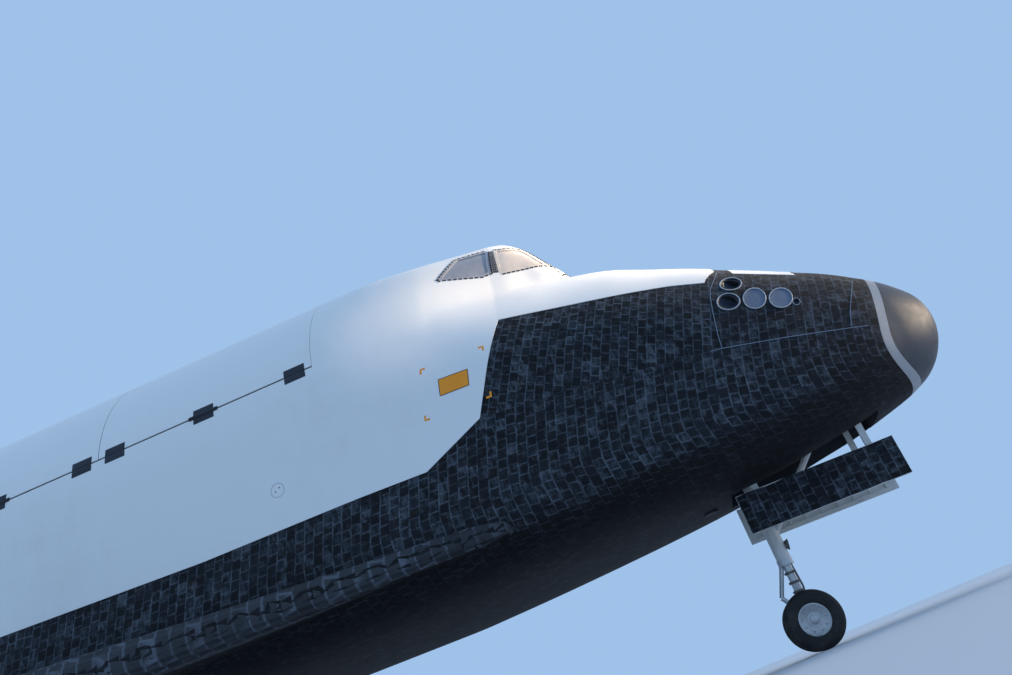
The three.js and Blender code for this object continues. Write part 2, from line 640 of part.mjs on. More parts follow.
const hingeHigh = axisPoint(RUDDER_HIGH);
const hingeWay = hingeHigh.clone().sub(hingeLow).normalize();
const aftWay = new THREE.Vector3(-hingeWay.z, 0, hingeWay.x); // square to the hinge line, pointing aft
const hingeLength = hingeHigh.distanceTo(hingeLow);
const thickLow = finChord(RUDDER_LOW) * THICK_SHARE;
const thickHigh = finChord(RUDDER_HIGH) * THICK_SHARE;
// A plate in the fin's plane, from [distance up the hinge line, distance aft of it] pairs
const rudderPlate = (outline, y0, y1) =>
  sidePlate(
    outline.map(([up, aft]) => {
      const p = hingeLow.clone().addScaledVector(hingeWay, up).addScaledVector(aftWay, aft);
      return [-p.x, p.z];
    }),
    y0,
    y1,
  );
const slot = rudderPlate(
  [[0, -thickLow - 45], [hingeLength, -thickHigh - 45], [hingeLength, 9000], [0, 9000]],
  -BIG,
  BIG,
);
const [topFrom, topWay] = shieldAxis(MAIN_ENGINES[0]);
const engineRoom = bar(
  topFrom.clone().addScaledVector(topWay, 1900),
  topFrom.clone().addScaledVector(topWay, 4200),
  500,
  1500,
  16,
);
const aheadOfTail = box(-MID_END - 2 * SEAT, BIG, -BIG, BIG, -BIG, BIG);
parts.fin = cut(finWhole, slot, tail(SEAT), aheadOfTail, engineRoom);
const spinePoint = (up) => hingeLow.clone().addScaledVector(hingeWay, up);
const spineEnds = [thickLow, thickHigh].map((thick) => thick * SPINE_SHARE);
parts.rudder_hinge_spine = turned(
  [
    [0, SEAT],
    [thickLow, SEAT],
    [thickLow, FLANGE],
    [spineEnds[0], FLANGE],
    [spineEnds[1], hingeLength - FLANGE],
    [thickHigh, hingeLength - FLANGE],
    [thickHigh, hingeLength - SEAT],
    [0, hingeLength - SEAT],
  ],
  hingeLow,
  hingeWay,
  24,
);
const panelPlate = rudderPlate(
  [
    [FLANGE + SEAT, 0],
    [hingeLength - FLANGE - SEAT, 0],
    [hingeLength - FLANGE - SEAT, 8000],
    [FLANGE + SEAT, 8000],
  ],
  4,
  BIG,
);
const spineRoom = bar(
  spinePoint(-50),
  spinePoint(hingeLength + 50),
  thickLow * SPINE_SHARE + 9,
  thickHigh * SPINE_SHARE + 9,
  24,
);
const panel = cut(finWhole.intersect(panelPlate), spineRoom);
parts.rudder_panel_port = panel;
parts.rudder_panel_starboard = mirrored(panel);

// Body flap
function flapRing(y) {
  const points = [];
  for (let k = 0; k <= 10; k++) {
    const t = Math.PI / 2 + (k / 10) * Math.PI;
    points.push(place(FLAP_HINGE - FLAP_RADIUS * -Math.cos(t), y, FLAP_HEIGHT + FLAP_RADIUS * Math.sin(t)));
  }
  points.push(place(FLAP_TRAIL, y, FLAP_HEIGHT - 60), place(FLAP_TRAIL, y, FLAP_HEIGHT + 20));
  return points;
}
// The slot for one lug in the nose of a flap of a given radius, on a hinge line through the origin
function lugSlot(radius) {
  const half = LUG / 2 + SEAT;
  const reach = radius + 60;
  const hub = radius * LUG_SHARE + RUN;
  return join(
    bar(new THREE.Vector3(0, -half, 0), new THREE.Vector3(0, half, 0), hub, hub, 14),
    box(0, reach, -half, half, -reach, reach),
  );
}
parts.body_flap = cut(
  loft([flapRing(-FLAP_HALF), flapRing(FLAP_HALF)]),
  ...FLAP_LUGS.map((y) => lugSlot(FLAP_RADIUS).translate([-FLAP_HINGE, y, FLAP_HEIGHT])),
);

// Wings
const wingRear = (y) => ELEVON_HINGE - elevonRadius(y) - COVE;
function wingRing([y, lead, edge, top, under, law]) {
  const rear = wingRear(Math.max(y, ELEVON_IN));
  const height = elevonHeight(Math.max(y, ELEVON_IN));
  const radius = elevonRadius(Math.max(y, ELEVON_IN));
  const upper = [];
  const lower = [];
  CHORD_SHARE.forEach((share, i) => {
    const s = lead + share * (rear - lead);
    const full = THICKNESS[law][i];
    const last = i === CHORD_SHARE.length - 1;
    upper.push(place(s, y, last ? height + radius : edge + full * (top - edge)));
    const sink = Math.min(1, full * 1.25 + (share > 0.3 ? 0.25 : 0));
    if (i > 0) lower.push(place(s, y, last ? height - radius : edge - sink * (edge - under)));
  });
  return [...upper, ...lower.reverse()];
}
const wingWhole = loft(WING.map(wingRing));
// Sets a shape made on a hinge line through the origin on the elevons' hinge line, which rises outboard
const onElevonHinge = (shape, y) =>
  shape.rotate([THREE.MathUtils.radToDeg(Math.atan(ELEVON_RISE)), 0, 0]).translate([-ELEVON_HINGE, y, elevonHeight(y)]);
function elevonLug(y) {
  const radius = elevonRadius(y) * LUG_SHARE;
  const end = (side) => new THREE.Vector3(0, (side * LUG) / 2, 0);
  const root = elevonRadius(y) + COVE + 250;
  const lug = join(bar(end(-1), end(1), radius, radius, 14), box(0, root, -LUG / 2, LUG / 2, -radius / 2, radius / 2));
  return onElevonHinge(lug, y);
}
const INNER_LUGS = [4000, 6900];
const OUTER_LUGS = [8800, 11100];
const edgeLine = [[EDGE_START_X, 0], [20015, WING_KINK], [27134, WING_TIP]];
edgeLine[0][1] = WING_ROOT + ((EDGE_START_X - 6706) / (20015 - 6706)) * (WING_KINK - WING_ROOT);
const edgePlate = (extra) =>
  planPlate(
    [
      [edgeLine[0][0] - 3000, edgeLine[0][1] + 3000],
      [edgeLine[0][0], edgeLine[0][1] - 120 - extra],
      [edgeLine[1][0] + EDGE_DEPTH + extra, edgeLine[1][1] - 40 - extra],
      [edgeLine[2][0] + EDGE_DEPTH + extra + 200, edgeLine[2][1] + 200],
      [edgeLine[2][0] - 3000, edgeLine[2][1] + 3000],
    ],
    -1000,
    3000,
  );
const wellOf = (w) => box(-w.back, -w.front, w.inner, w.outer, -1000, w.roof);
const wingCut = cut(wingWhole, hullBetween(HULL, 6000, 33300, SEAT));
parts.wing_edge_port = wingCut.intersect(edgePlate(0));
parts.wing_port = join(
  cut(wingCut, edgePlate(SEAT), wellOf(MAIN_WELL)),
  ...[...INNER_LUGS, ...OUTER_LUGS].map(elevonLug),
);
parts.wing_starboard = mirrored(parts.wing_port);
parts.wing_edge_starboard = mirrored(parts.wing_edge_port);

// Elevons
function elevonRing(y) {
  const [radius, height] = [elevonRadius(y), elevonHeight(y)];
  const points = [];
  for (let k = 0; k <= 10; k++) {
    const t = Math.PI / 2 + (k / 10) * Math.PI;
    points.push(place(ELEVON_HINGE + radius * Math.cos(t), y, height + radius * Math.sin(t)));
  }
  points.push(place(elevonTrail(y), y, height - 18), place(elevonTrail(y), y, height + 18));
  return points;
}
for (const [name, from, to, lugs] of [
  ["elevon_inner", ELEVON_IN, ELEVON_SPLIT - ELEVON_GAP, INNER_LUGS],
  ["elevon_outer", ELEVON_SPLIT + ELEVON_GAP, ELEVON_OUT, OUTER_LUGS],
]) {
  const shape = cut(
    loft([elevonRing(from), elevonRing(to)]),
    ...lugs.map((y) => onElevonHinge(lugSlot(elevonRadius(y)), y)),
  );
  parts[name + "_port"] = shape;
  parts[name + "_starboard"] = mirrored(shape);
}

// Landing gear
// The height, on the airframe's own scale, of a wheel's centre that stands on the floor
const wheelHeight = ({ station, radius }) =>
  (radius * Math.cos(Math.PI / WHEEL_SIDES) - NOSE_BELLY_Z - station * Math.sin(stance)) / Math.cos(stance);

// A turned body along Y, on the flat that faces the floor
function wheelTurned(profile, station, y, height) {
  const way = new THREE.Vector3(0, 1, 0);
  const shape = turned(profile, new THREE.Vector3(), way, WHEEL_SIDES);
  return shape.rotate([0, STANCE_OF_FLAT, 0]).translate([-station, y, height]);
}

function tyre({ station, radius, width, rim }, y, height) {
  const half = width / 2;
  const profile = [
    [rim, -half * 0.8],
    [rim + (radius - rim) * 0.4, -half],
    [radius - half * 0.3, -half * 0.75],
    [radius, -half * 0.4],
    [radius, half * 0.4],
    [radius - half * 0.3, half * 0.75],
    [rim + (radius - rim) * 0.4, half],
    [rim, half * 0.8],
    [rim, -half * 0.8],
  ];
  return wheelTurned(profile, station, y, height);
}

// Two hubs on one axle, along Y
function wheelPair({ station, width, spread, rim }, middle, height, axle) {
  const half = width / 2;
  const outline = [
    [0, -spread - half * 0.5],
    [rim * 0.5, -spread - half * 0.5],
    [rim - SEAT, -spread - half * 0.8],
    [rim - SEAT, -spread + half * 0.7],
    [axle, -spread + half * 0.7],
    [axle, spread - half * 0.7],
    [rim - SEAT, spread - half * 0.7],
    [rim - SEAT, spread + half * 0.8],
    [rim * 0.5, spread + half * 0.5],
    [0, spread + half * 0.5],
  ];
  return wheelTurned(outline, station, middle, height);
}

// Bored housing of an axle, between the hubs
function housing(gear, middle, height, axle, outer) {
  const reach = gear.spread - (gear.width / 2) * 0.7 - SEAT;
  const end = (y) => place(gear.station, middle + y, height);
  return [
    bar(end(-reach), end(reach), outer, outer, 16),
    bar(end(-reach - 20), end(reach + 20), axle + 6, axle + 6, 16),
  ];
}

const NOSE_AXLE = 38;
const noseHeight = wheelHeight(NOSE_WHEEL);
const STEER_TOP = 250; // under this height the nose leg turns
for (const [side, sign] of [["port", 1], ["starboard", -1]])
  parts["nose_tyre_" + side] = tyre(NOSE_WHEEL, sign * NOSE_WHEEL.spread, noseHeight);
parts.nose_wheels = wheelPair(NOSE_WHEEL, 0, noseHeight, NOSE_AXLE);
const noseAt = (dx, y, z) => place(NOSE_WHEEL.station + dx, y, z);
const noseCollar = noseHeight + 900;
const [noseHousing, noseBore] = housing(NOSE_WHEEL, 0, noseHeight, NOSE_AXLE, 75);
parts.nose_gear_fork = cut(
  join(
    bar(noseAt(0, 0, noseHeight), noseAt(0, 0, noseCollar - SEAT), 62, 62, 16),
    noseHousing,
    bar(noseAt(0, 0, noseCollar - 90), noseAt(0, 0, noseCollar - SEAT), 115, 115, 16),
    bar(noseAt(20, 0, noseHeight + 60), noseAt(260, 0, noseHeight + 420), 34, 34, 8),
    bar(noseAt(260, 0, noseHeight + 420), noseAt(60, 0, noseCollar - 50), 34, 34, 8),
  ),
  noseBore,
);
parts.nose_gear_leg = join(
  bar(noseAt(0, 0, noseCollar), noseAt(0, 0, NOSE_WELL.roof - 150), 105, 105, 16),
  bar(
    noseAt(0, -NOSE_WELL.half + SEAT, NOSE_WELL.roof - 220),
    noseAt(0, NOSE_WELL.half - SEAT, NOSE_WELL.roof - 220),
    85,
    85,
    14,
  ),
  bar(noseAt(0, 0, noseCollar + 330), noseAt(-1500, 260, NOSE_WELL.roof - 200), 45, 45, 8),
  bar(noseAt(0, 0, noseCollar + 330), noseAt(-1500, -260, NOSE_WELL.roof - 200), 45, 45, 8),
  bar(
    noseAt(-1500, -NOSE_WELL.half + SEAT, NOSE_WELL.roof - 200),
    noseAt(-1500, NOSE_WELL.half - SEAT, NOSE_WELL.roof - 200),
    55,
    55,
    10,
  ),
);

const MAIN_AXLE = 70;
const mainHeight = wheelHeight(MAIN_WHEEL);
const mainAt = (dx, dy, z) => place(MAIN_WHEEL.station + dx, MAIN_WHEEL.tread + dy, z);
const [mainHousing, mainBore] = housing(MAIN_WHEEL, MAIN_WHEEL.tread, mainHeight, MAIN_AXLE, 130);
const mainLeg = cut(
  join(
    bar(mainAt(0, 0, mainHeight), mainAt(0, 0, mainHeight + 900), 105, 105, 16),
    bar(mainAt(0, 0, mainHeight + 760), mainAt(0, 0, MAIN_WELL.roof - 120), 170, 170, 18),
    mainHousing,
    bar(
      place(MAIN_WHEEL.station, MAIN_WELL.inner + SEAT, MAIN_WELL.roof - 260),
      place(MAIN_WHEEL.station, MAIN_WELL.outer - SEAT, MAIN_WELL.roof - 260),
      120,
      120,
      14,
    ),
    bar(mainAt(0, 0, mainHeight + 950), mainAt(-1900, 0, MAIN_WELL.roof - 260), 75, 75, 10),
    bar(
      place(MAIN_WHEEL.station - 1900, MAIN_WELL.inner + SEAT, MAIN_WELL.roof - 260),
      place(MAIN_WHEEL.station - 1900, MAIN_WELL.outer - SEAT, MAIN_WELL.roof - 260),
      80,
      80,
      10,
    ),
    bar(mainAt(40, 0, mainHeight + 90), mainAt(380, 0, mainHeight + 480), 48, 48, 8),
    bar(mainAt(380, 0, mainHeight + 480), mainAt(100, 0, mainHeight + 850), 48, 48, 8),
  ),
  mainBore,
);
const mainPair = wheelPair(MAIN_WHEEL, MAIN_WHEEL.tread, mainHeight, MAIN_AXLE);
parts.main_gear_leg_port = mainLeg;
parts.main_gear_leg_starboard = mirrored(mainLeg);
parts.main_wheels_port = mainPair;
parts.main_wheels_starboard = mirrored(mainPair);
for (const [name, sign] of [["inner", -1], ["outer", 1]]) {
  const shape = tyre(MAIN_WHEEL, MAIN_WHEEL.tread + sign * MAIN_WHEEL.spread, mainHeight);
  parts["main_tyre_" + name + "_port"] = shape;
  parts["main_tyre_" + name + "_starboard"] = mirrored(shape);
}

// Gear doors, hanging open on arms that reach the side of their well
function gearDoor(well, y, wallSide, depth, under) {
  const plate = box(-well.back + 30, -well.front - 30, y - DOOR_PLATE / 2, y + DOOR_PLATE / 2, under - depth, under);
  const arms = [well.front + 350, well.back - 350].map((station) =>
    join(
      box(-station - 45, -station + 45, Math.min(y, wallSide), Math.max(y, wallSide), under - 70, under + 20),
      box(-station - 45, -station + 45, wallSide - 30, wallSide + 30, under - 70, under + 620),
    ),
  );
  return join(plate, ...arms);
}
const noseDoor = gearDoor(NOSE_WELL, NOSE_WELL.half + 30, NOSE_WELL.half - 30 - SEAT, 560, 150);
parts.nose_gear_door_port = noseDoor;
parts.nose_gear_door_starboard = mirrored(noseDoor);
const mainDoor = gearDoor(MAIN_WELL, MAIN_WELL.inner - 30, MAIN_WELL.inner + 30 + SEAT, 1480, -20);
parts.main_gear_door_port = mainDoor;
parts.main_gear_door_starboard = mirrored(mainDoor);

// Finishes: colour, roughness, metalness
const FINISH = {
  white: [0xdfe3e6, 0.55, 0],
  black: [0x16181c, 0.8, 0],
  grey: [0x8d9093, 0.5, 0.2],
  silver: [0xa7a6a3, 0.35, 0.7],
  glass: [0x9fa4ab, 0.25, 0],
  rubber: [0x1b1b1c, 0.9, 0],
  steel: [0xb7b9bb, 0.4, 0.8],
};
const FINISH_OF = [
  [/cap_band|engine|spine/, "grey"],
  [/nose_cap/, "silver"],
  [/window|windshield/, "glass"],
  [/tyre/, "rubber"],
  [/wheels|leg|fork/, "steel"],
  [/module|flap|edge|heat_shield/, "black"],
  [/./, "white"],
];

const airframe = new THREE.Group();
for (const [name, shape] of Object.entries(parts)) {
  const [, finish] = FINISH_OF.find(([test]) => test.test(name));
  const [color, roughness, metalness] = FINISH[finish];
  const mesh = new THREE.Mesh(geometryOf(shape), new THREE.MeshStandardMaterial({ color, roughness, metalness }));
  mesh.name = name;
  airframe.add(mesh);
}
airframe.rotation.y = stance;
airframe.position.set(CENTRE_X, 0, NOSE_BELLY_Z);
const orbiter = new THREE.Group();
orbiter.add(airframe);

export default orbiter;
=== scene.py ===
"""A space shuttle orbiter at full size, parked on its landing gear and finished as a display article.

Places on the airframe are given in millimetres along its own axes: the station is the distance aft of the
nose tip, the side is counted to port, and the height is measured over the flat belly. What Blender gets is in
metres in the row frame, where X points to the nose, Y to port and Z up from the floor.
"""

import json
import logging
import math
from collections.abc import Callable, Iterator, Sequence
from contextlib import contextmanager
from dataclasses import dataclass
from enum import Enum

import bpy
import numpy as np
from mathutils import Matrix, Vector

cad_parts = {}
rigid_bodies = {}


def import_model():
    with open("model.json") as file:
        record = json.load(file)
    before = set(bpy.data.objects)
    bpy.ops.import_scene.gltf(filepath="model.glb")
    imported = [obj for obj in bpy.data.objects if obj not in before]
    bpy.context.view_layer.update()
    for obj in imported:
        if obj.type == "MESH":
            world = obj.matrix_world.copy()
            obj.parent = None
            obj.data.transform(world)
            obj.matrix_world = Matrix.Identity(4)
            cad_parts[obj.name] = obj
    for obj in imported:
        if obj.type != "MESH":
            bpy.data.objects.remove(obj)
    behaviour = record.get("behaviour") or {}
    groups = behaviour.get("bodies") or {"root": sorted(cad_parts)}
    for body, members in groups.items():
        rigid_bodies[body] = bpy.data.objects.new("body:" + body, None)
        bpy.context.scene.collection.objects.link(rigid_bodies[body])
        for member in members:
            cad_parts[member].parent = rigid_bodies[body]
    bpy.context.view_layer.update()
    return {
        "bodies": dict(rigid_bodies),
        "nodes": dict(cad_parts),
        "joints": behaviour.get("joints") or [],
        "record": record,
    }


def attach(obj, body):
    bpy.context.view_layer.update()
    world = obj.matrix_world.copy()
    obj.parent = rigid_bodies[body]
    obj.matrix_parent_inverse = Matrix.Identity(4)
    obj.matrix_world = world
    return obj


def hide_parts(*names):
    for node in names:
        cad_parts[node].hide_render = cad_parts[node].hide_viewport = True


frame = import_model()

LOG = logging.getLogger("orbiter")
MM = 0.001
METRE = 1000
TINY = 1e-6
FARTHEST = 5200.0
NOWHERE = -9999.0

Colour = tuple[float, float, float]
Piece = bpy.types.Object
Material = bpy.types.Material


def srgb(red: float, green: float, blue: float) -> Colour:
    """Turn a colour on the 0 to 255 display scale into linear light.

    Args:
        red: Red on the display scale.
        green: Green on the display scale.
        blue: Blue on the display scale.

    Returns:
        The three linear values.
    """

    def linear(value: float) -> float:
        """One channel in linear light."""
        share = value / 255
        return share / 12.92 if share <= 0.04045 else ((share + 0.055) / 1.055) ** 2.4

    return (linear(red), linear(green), linear(blue))


class Side(Enum):
    """The two sides of the airframe."""

    PORT = 1
    STARBOARD = -1

    @property
    def label(self) -> str:
        """The side's name in the names of pieces."""
        return self.name.lower()


@dataclass(frozen=True)
class Stance:
    """The parked place of the airframe over the floor.

    Args:
        tilt: Nose-down angle in radians.
        belly: Height of the belly line over the floor at the nose tip's station.
        centre: Distance from the nose tip's station to the middle of the row frame.
    """

    tilt: float = math.radians(2.1)
    belly: float = 1990
    centre: float = 18343

    def points(self, places: np.ndarray) -> np.ndarray:
        """Turn places on the airframe into points of the row frame.

        Args:
            places: An array whose last axis is station, side, height in millimetres.

        Returns:
            The points in metres, in an array of the same shape.
        """
        station, side, height = np.moveaxis(np.asarray(places, float), -1, 0)
        ahead = self.centre - station * math.cos(self.tilt) + height * math.sin(self.tilt)
        up = self.belly + station * math.sin(self.tilt) + height * math.cos(self.tilt)
        return np.stack([ahead, side, up], -1) * MM

    def point(self, station: float, side: float, height: float) -> Vector:
        """One place on the airframe as a point of the row frame."""
        return Vector(self.points(np.array([station, side, height])))

    def matrix(self) -> Matrix:
        """The move from the airframe's own frame, with X ahead of the tip, to the row frame."""
        ways = (self.way(-1, 0, 0), self.way(0, 1, 0), self.way(0, 0, 1))
        return Matrix.Translation(self.point(0, 0, 0)) @ Matrix(ways).transposed().to_4x4()

    def way(self, aft: float, side: float, up: float) -> Vector:
        """A direction on the airframe as a unit vector of the row frame."""
        turned = self.points(np.array([aft, side, up])) - self.points(np.zeros(3))
        return Vector(turned).normalized()


STANCE = Stance()


def cubic_slopes(across: np.ndarray, values: np.ndarray) -> np.ndarray:
    """Slopes for a smooth curve through points that never overshoots them.

    Args:
        across: The places of the points, rising.
        values: The values there.

    Returns:
        The slope at each point.
    """
    steps = np.diff(across)
    rises = np.diff(values) / steps
    slopes = np.zeros_like(values)
    for i in range(1, len(values) - 1):
        if rises[i - 1] * rises[i] > 0:
            first = 2 * steps[i] + steps[i - 1]
            second = steps[i] + 2 * steps[i - 1]
            slopes[i] = (first + second) / (first / rises[i - 1] + second / rises[i])
    slopes[0] = rises[0]
    slopes[-1] = rises[-1]
    return slopes


def cubic(at: np.ndarray, across: np.ndarray, values: np.ndarray, slopes: np.ndarray) -> np.ndarray:
    """Read a smooth curve at given places.

    Args:
        at: Where the curve is read.
        across: The places of its points.
        values: The values there.
        slopes: The slopes there.

    Returns:
        The curve's values.
    """
    at = np.clip(at, across[0], across[-1])
    i = np.clip(np.searchsorted(across, at) - 1, 0, len(across) - 2)
    step = across[i + 1] - across[i]
    t = (at - across[i]) / step
    keep = (1 + 2 * t) * (1 - t) ** 2
    gain = t * t * (3 - 2 * t)
    lead = t * (1 - t) ** 2 * step
    trail = t * t * (t - 1) * step
    return keep * values[i] + gain * values[i + 1] + lead * slopes[i] + trail * slopes[i + 1]


def lengths_along(places: np.ndarray) -> np.ndarray:
    """The distance along a line from its first point to each of its points."""
    return np.concatenate([[0], np.cumsum(np.linalg.norm(np.diff(places, axis=0), axis=1))])


def halved(
    near: np.ndarray,
    far: np.ndarray,
    short: Callable[[np.ndarray], np.ndarray],
    steps: int = 26,
) -> tuple[np.ndarray, np.ndarray]:
    """Close in on the values at which a test stops being true.

    Args:
        near: Values at which it is true.
        far: Values at which it isn't.
        short: The test.
        steps: How often the span between the two is halved.

    Returns:
        The two ends of the last span.
    """
    for _ in range(steps):
        middle = (near + far) / 2
        inside = short(middle)
        near = np.where(inside, middle, near)
        far = np.where(inside, far, middle)
    return near, far


# Sections of the fuselage. The columns are station, half width, belly, foot of the side, head of the side,
# crown, and the two exponents that round the lower and the upper corners.
HULL_ROWS = [
    (0, 0, 1696, 1696, 1697, 1697, 2, 2),
    (12, 95, 1590, 1690, 1702, 1810, 2, 2),
    (50, 225, 1425, 1690, 1705, 1955, 2, 2),
    (150, 412, 1215, 1680, 1715, 2130, 2, 2),
    (305, 577, 1010, 1660, 1725, 2295, 2.05, 2),
    (508, 745, 846, 1630, 1742, 2478, 2.1, 2),
    (660, 851, 771, 1610, 1758, 2592, 2.15, 2),
    (840, 952, 697, 1585, 1775, 2710, 2.2, 2),
    (1220, 1162, 594, 1510, 1820, 2940, 2.35, 2),
    (1800, 1392, 461, 1415, 1922, 3225, 2.55, 2),
    (2400, 1606, 378, 1320, 2006, 3522, 2.75, 2),
    (2920, 1764, 294, 1270, 2080, 3790, 2.9, 2),
    (3600, 1960, 229, 1200, 2150, 4090, 3.1, 2),
    (4300, 2122, 180, 1120, 2260, 4385, 3.3, 2),
    (5100, 2284, 135, 1040, 2380, 4560, 3.45, 2),
    (6000, 2430, 95, 960, 2560, 4740, 3.6, 2),
    (7000, 2545, 55, 900, 2780, 5100, 3.8, 2),
    (8000, 2630, 20, 860, 3040, 5560, 3.9, 2),
    (8788, 2667, 0, 838, 3210, 5880, 4, 2),
    (27203, 2667, 0, 838, 3210, 5880, 4, 2),
    (29200, 2740, 0, 838, 3260, 5985, 4, 2.1),
    (31000, 2850, 0, 838, 3330, 6090, 4, 2.2),
    (33400, 2960, 40, 838, 3380, 6100, 4, 2.3),
]
# Sections of the cockpit, with the same columns. The first row starts it level with the nose deck.
COCKPIT_ROWS = [
    (4600, 40, 3700, 3900, 4080, 4440, 2.4, 2.4),
    (4680, 60, 3700, 3900, 4100, 4515, 2.4, 2.4),
    (4860, 700, 3650, 3900, 4080, 4750, 2.4, 2.4),
    (5100, 1100, 3550, 3850, 4030, 5063, 2.4, 2.4),
    (5450, 1240, 3450, 3780, 3970, 5520, 2.4, 2.45),
    (5700, 1360, 3400, 3700, 3940, 5680, 2.4, 2.5),
    (6000, 1490, 3320, 3620, 3880, 5735, 2.4, 2.5),
    (6500, 1760, 3200, 3500, 3780, 5725, 2.4, 2.5),
    (7100, 2070, 3100, 3400, 3620, 5745, 2.4, 2.45),
    (7900, 2380, 3000, 3300, 3420, 5822, 2.4, 2.25),
    (8788, 2660, 3000, 3200, 3210, 5876, 2.4, 2.0),
]
# How widely the cockpit is faired into the hull: station, width of the fairing
FAIRING = [(4600, 40), (4860, 80), (5200, 150), (5800, 380), (7100, 300), (7900, 120), (8600, 15), (8788, 0)]
# Where the silver cap and the light band behind it end, at the height of the nose tip
TIP_HEIGHT = 1750
CAP_EDGE = 830
BAND_EDGE = 970
# How far cuts lean aft for each step down, over what height they no longer do, and how they curl forward
# again under the chine
CAP_LEAN = 0.34
LEAN_TOP = 3240
CURL_TOP = 1500
CURL_REACH = 650
CAP_CURL = 1.2
BAND_CURL = 1.0
# The payload bay, the middle section and the line of the door hinges
BAY_START = 8788
BAY_END = 27076
MID_END = 27203
HINGE_HEIGHT = 3800
DOOR_SEGMENT = 3658
DOOR_SEGMENTS = 5
# Half the depth of the hull, about which its skins face outwards
HULL_AXIS = 2100


class SectionTable:
    """Fuselage sections between which every value is read smoothly."""

    GROWING = {"half": 1, "belly": -1, "crown": 1}

    def __init__(self, rows: Sequence[tuple[float, ...]]) -> None:
        """Keep the rows as columns.

        Args:
            rows: One row to a station, as in the tables above.
        """
        names = ("station", "half", "belly", "foot", "head", "crown", "low", "high")
        columns = np.array(rows, float).T
        self.columns = dict(zip(names, columns))
        self.first = columns[0][0]
        self.last = columns[0][-1]

    def at(self, name: str, station: np.ndarray) -> np.ndarray:
        """Read one value at some stations, never inside the straight line between two rows.

        Args:
            name: The column's name.
            station: Where it is read.

        Returns:
            The values there.
        """
        stations = self.columns["station"]
        values = self.columns[name]
        straight = np.interp(station, stations, values)
        if name not in self.GROWING:
            return straight
        across = np.sqrt(stations)
        smooth = cubic(np.sqrt(np.maximum(station, 0)), across, values, cubic_slopes(across, values))
        if self.GROWING[name] > 0:
            return np.maximum(straight, smooth)
        return np.minimum(straight, smooth)

    def reach(
        self,
        station: np.ndarray,
        angle: np.ndarray,
        centre: np.ndarray,
        solid_below: bool,
    ) -> np.ndarray:
        """Measure from a middle height to the outline along rays.

        Args:
            station: The stations of the rays.
            angle: Their angles, from straight down over the side to straight up.
            centre: The height that each ray starts from.
            solid_below: Whether the section goes on straight down under its sides.

        Returns:
            The distances.
        """
        names = ("half", "belly", "foot", "head", "crown", "low", "high")
        half, belly, foot, head, crown, low, high = (self.at(name, station) for name in names)

        def inside(reach: np.ndarray) -> np.ndarray:
            """Whether places at some distances lie inside the section."""
            side = np.abs(reach * np.sin(angle)) / np.maximum(half, TINY)
            height = centre - reach * np.cos(angle)
            upper = side**high + (np.maximum(height - head, 0) / np.maximum(crown - head, TINY)) ** high
            lower = side
            if not solid_below:
                lower = side**low + (np.maximum(foot - height, 0) / np.maximum(foot - belly, TINY)) ** low
            return np.where(height > (head + foot) / 2, upper, lower) < 1

        near = np.zeros(np.broadcast(station, angle).shape)
        return halved(near, np.full_like(near, FARTHEST), inside, 30)[0]


@dataclass(frozen=True)
class Line:
    """A line on the side of the fuselage.

    Args:
        corners: Its corners as station and height, going aft.
        shift: How far it is moved up.
    """

    corners: tuple[tuple[float, float], ...]
    shift: float = 0.0

    def at(self, station: np.ndarray) -> np.ndarray:
        """Its heights at some stations."""
        across, up = zip(*self.corners)
        return np.interp(station, across, up) + self.shift

    def raised(self, shift: float) -> "Line":
        """The same line moved up."""
        return Line(self.corners, self.shift + shift)


@dataclass(frozen=True)
class Ring:
    """A line round one side of the fuselage from the keel to the crown.

    Args:
        places: The places along it.
        girth: The distance from the keel at each place.
    """

    places: np.ndarray
    girth: np.ndarray

    def at(self, girth: np.ndarray) -> np.ndarray:
        """The places at some distances from the keel."""
        return np.stack([np.interp(girth, self.girth, self.places[:, i]) for i in range(3)], -1)

    def girth_at_height(self, height: float) -> float:
        """The distance from the keel at which the side reaches a height."""
        return float(np.interp(height, self.places[:, 2], self.girth))

    def crossing(self, line: "Line") -> float:
        """The distance from the keel at which it first rises over a line on the side."""
        above = self.places[:, 2] - line.at(self.places[:, 0])
        if above[0] >= 0:
            return 0.0
        if not (above > 0).any():
            return float(self.girth[-1])
        first = int(np.argmax(above > 0))
        return float(np.interp(0, above[first - 1 : first + 1], self.girth[first - 1 : first + 1]))


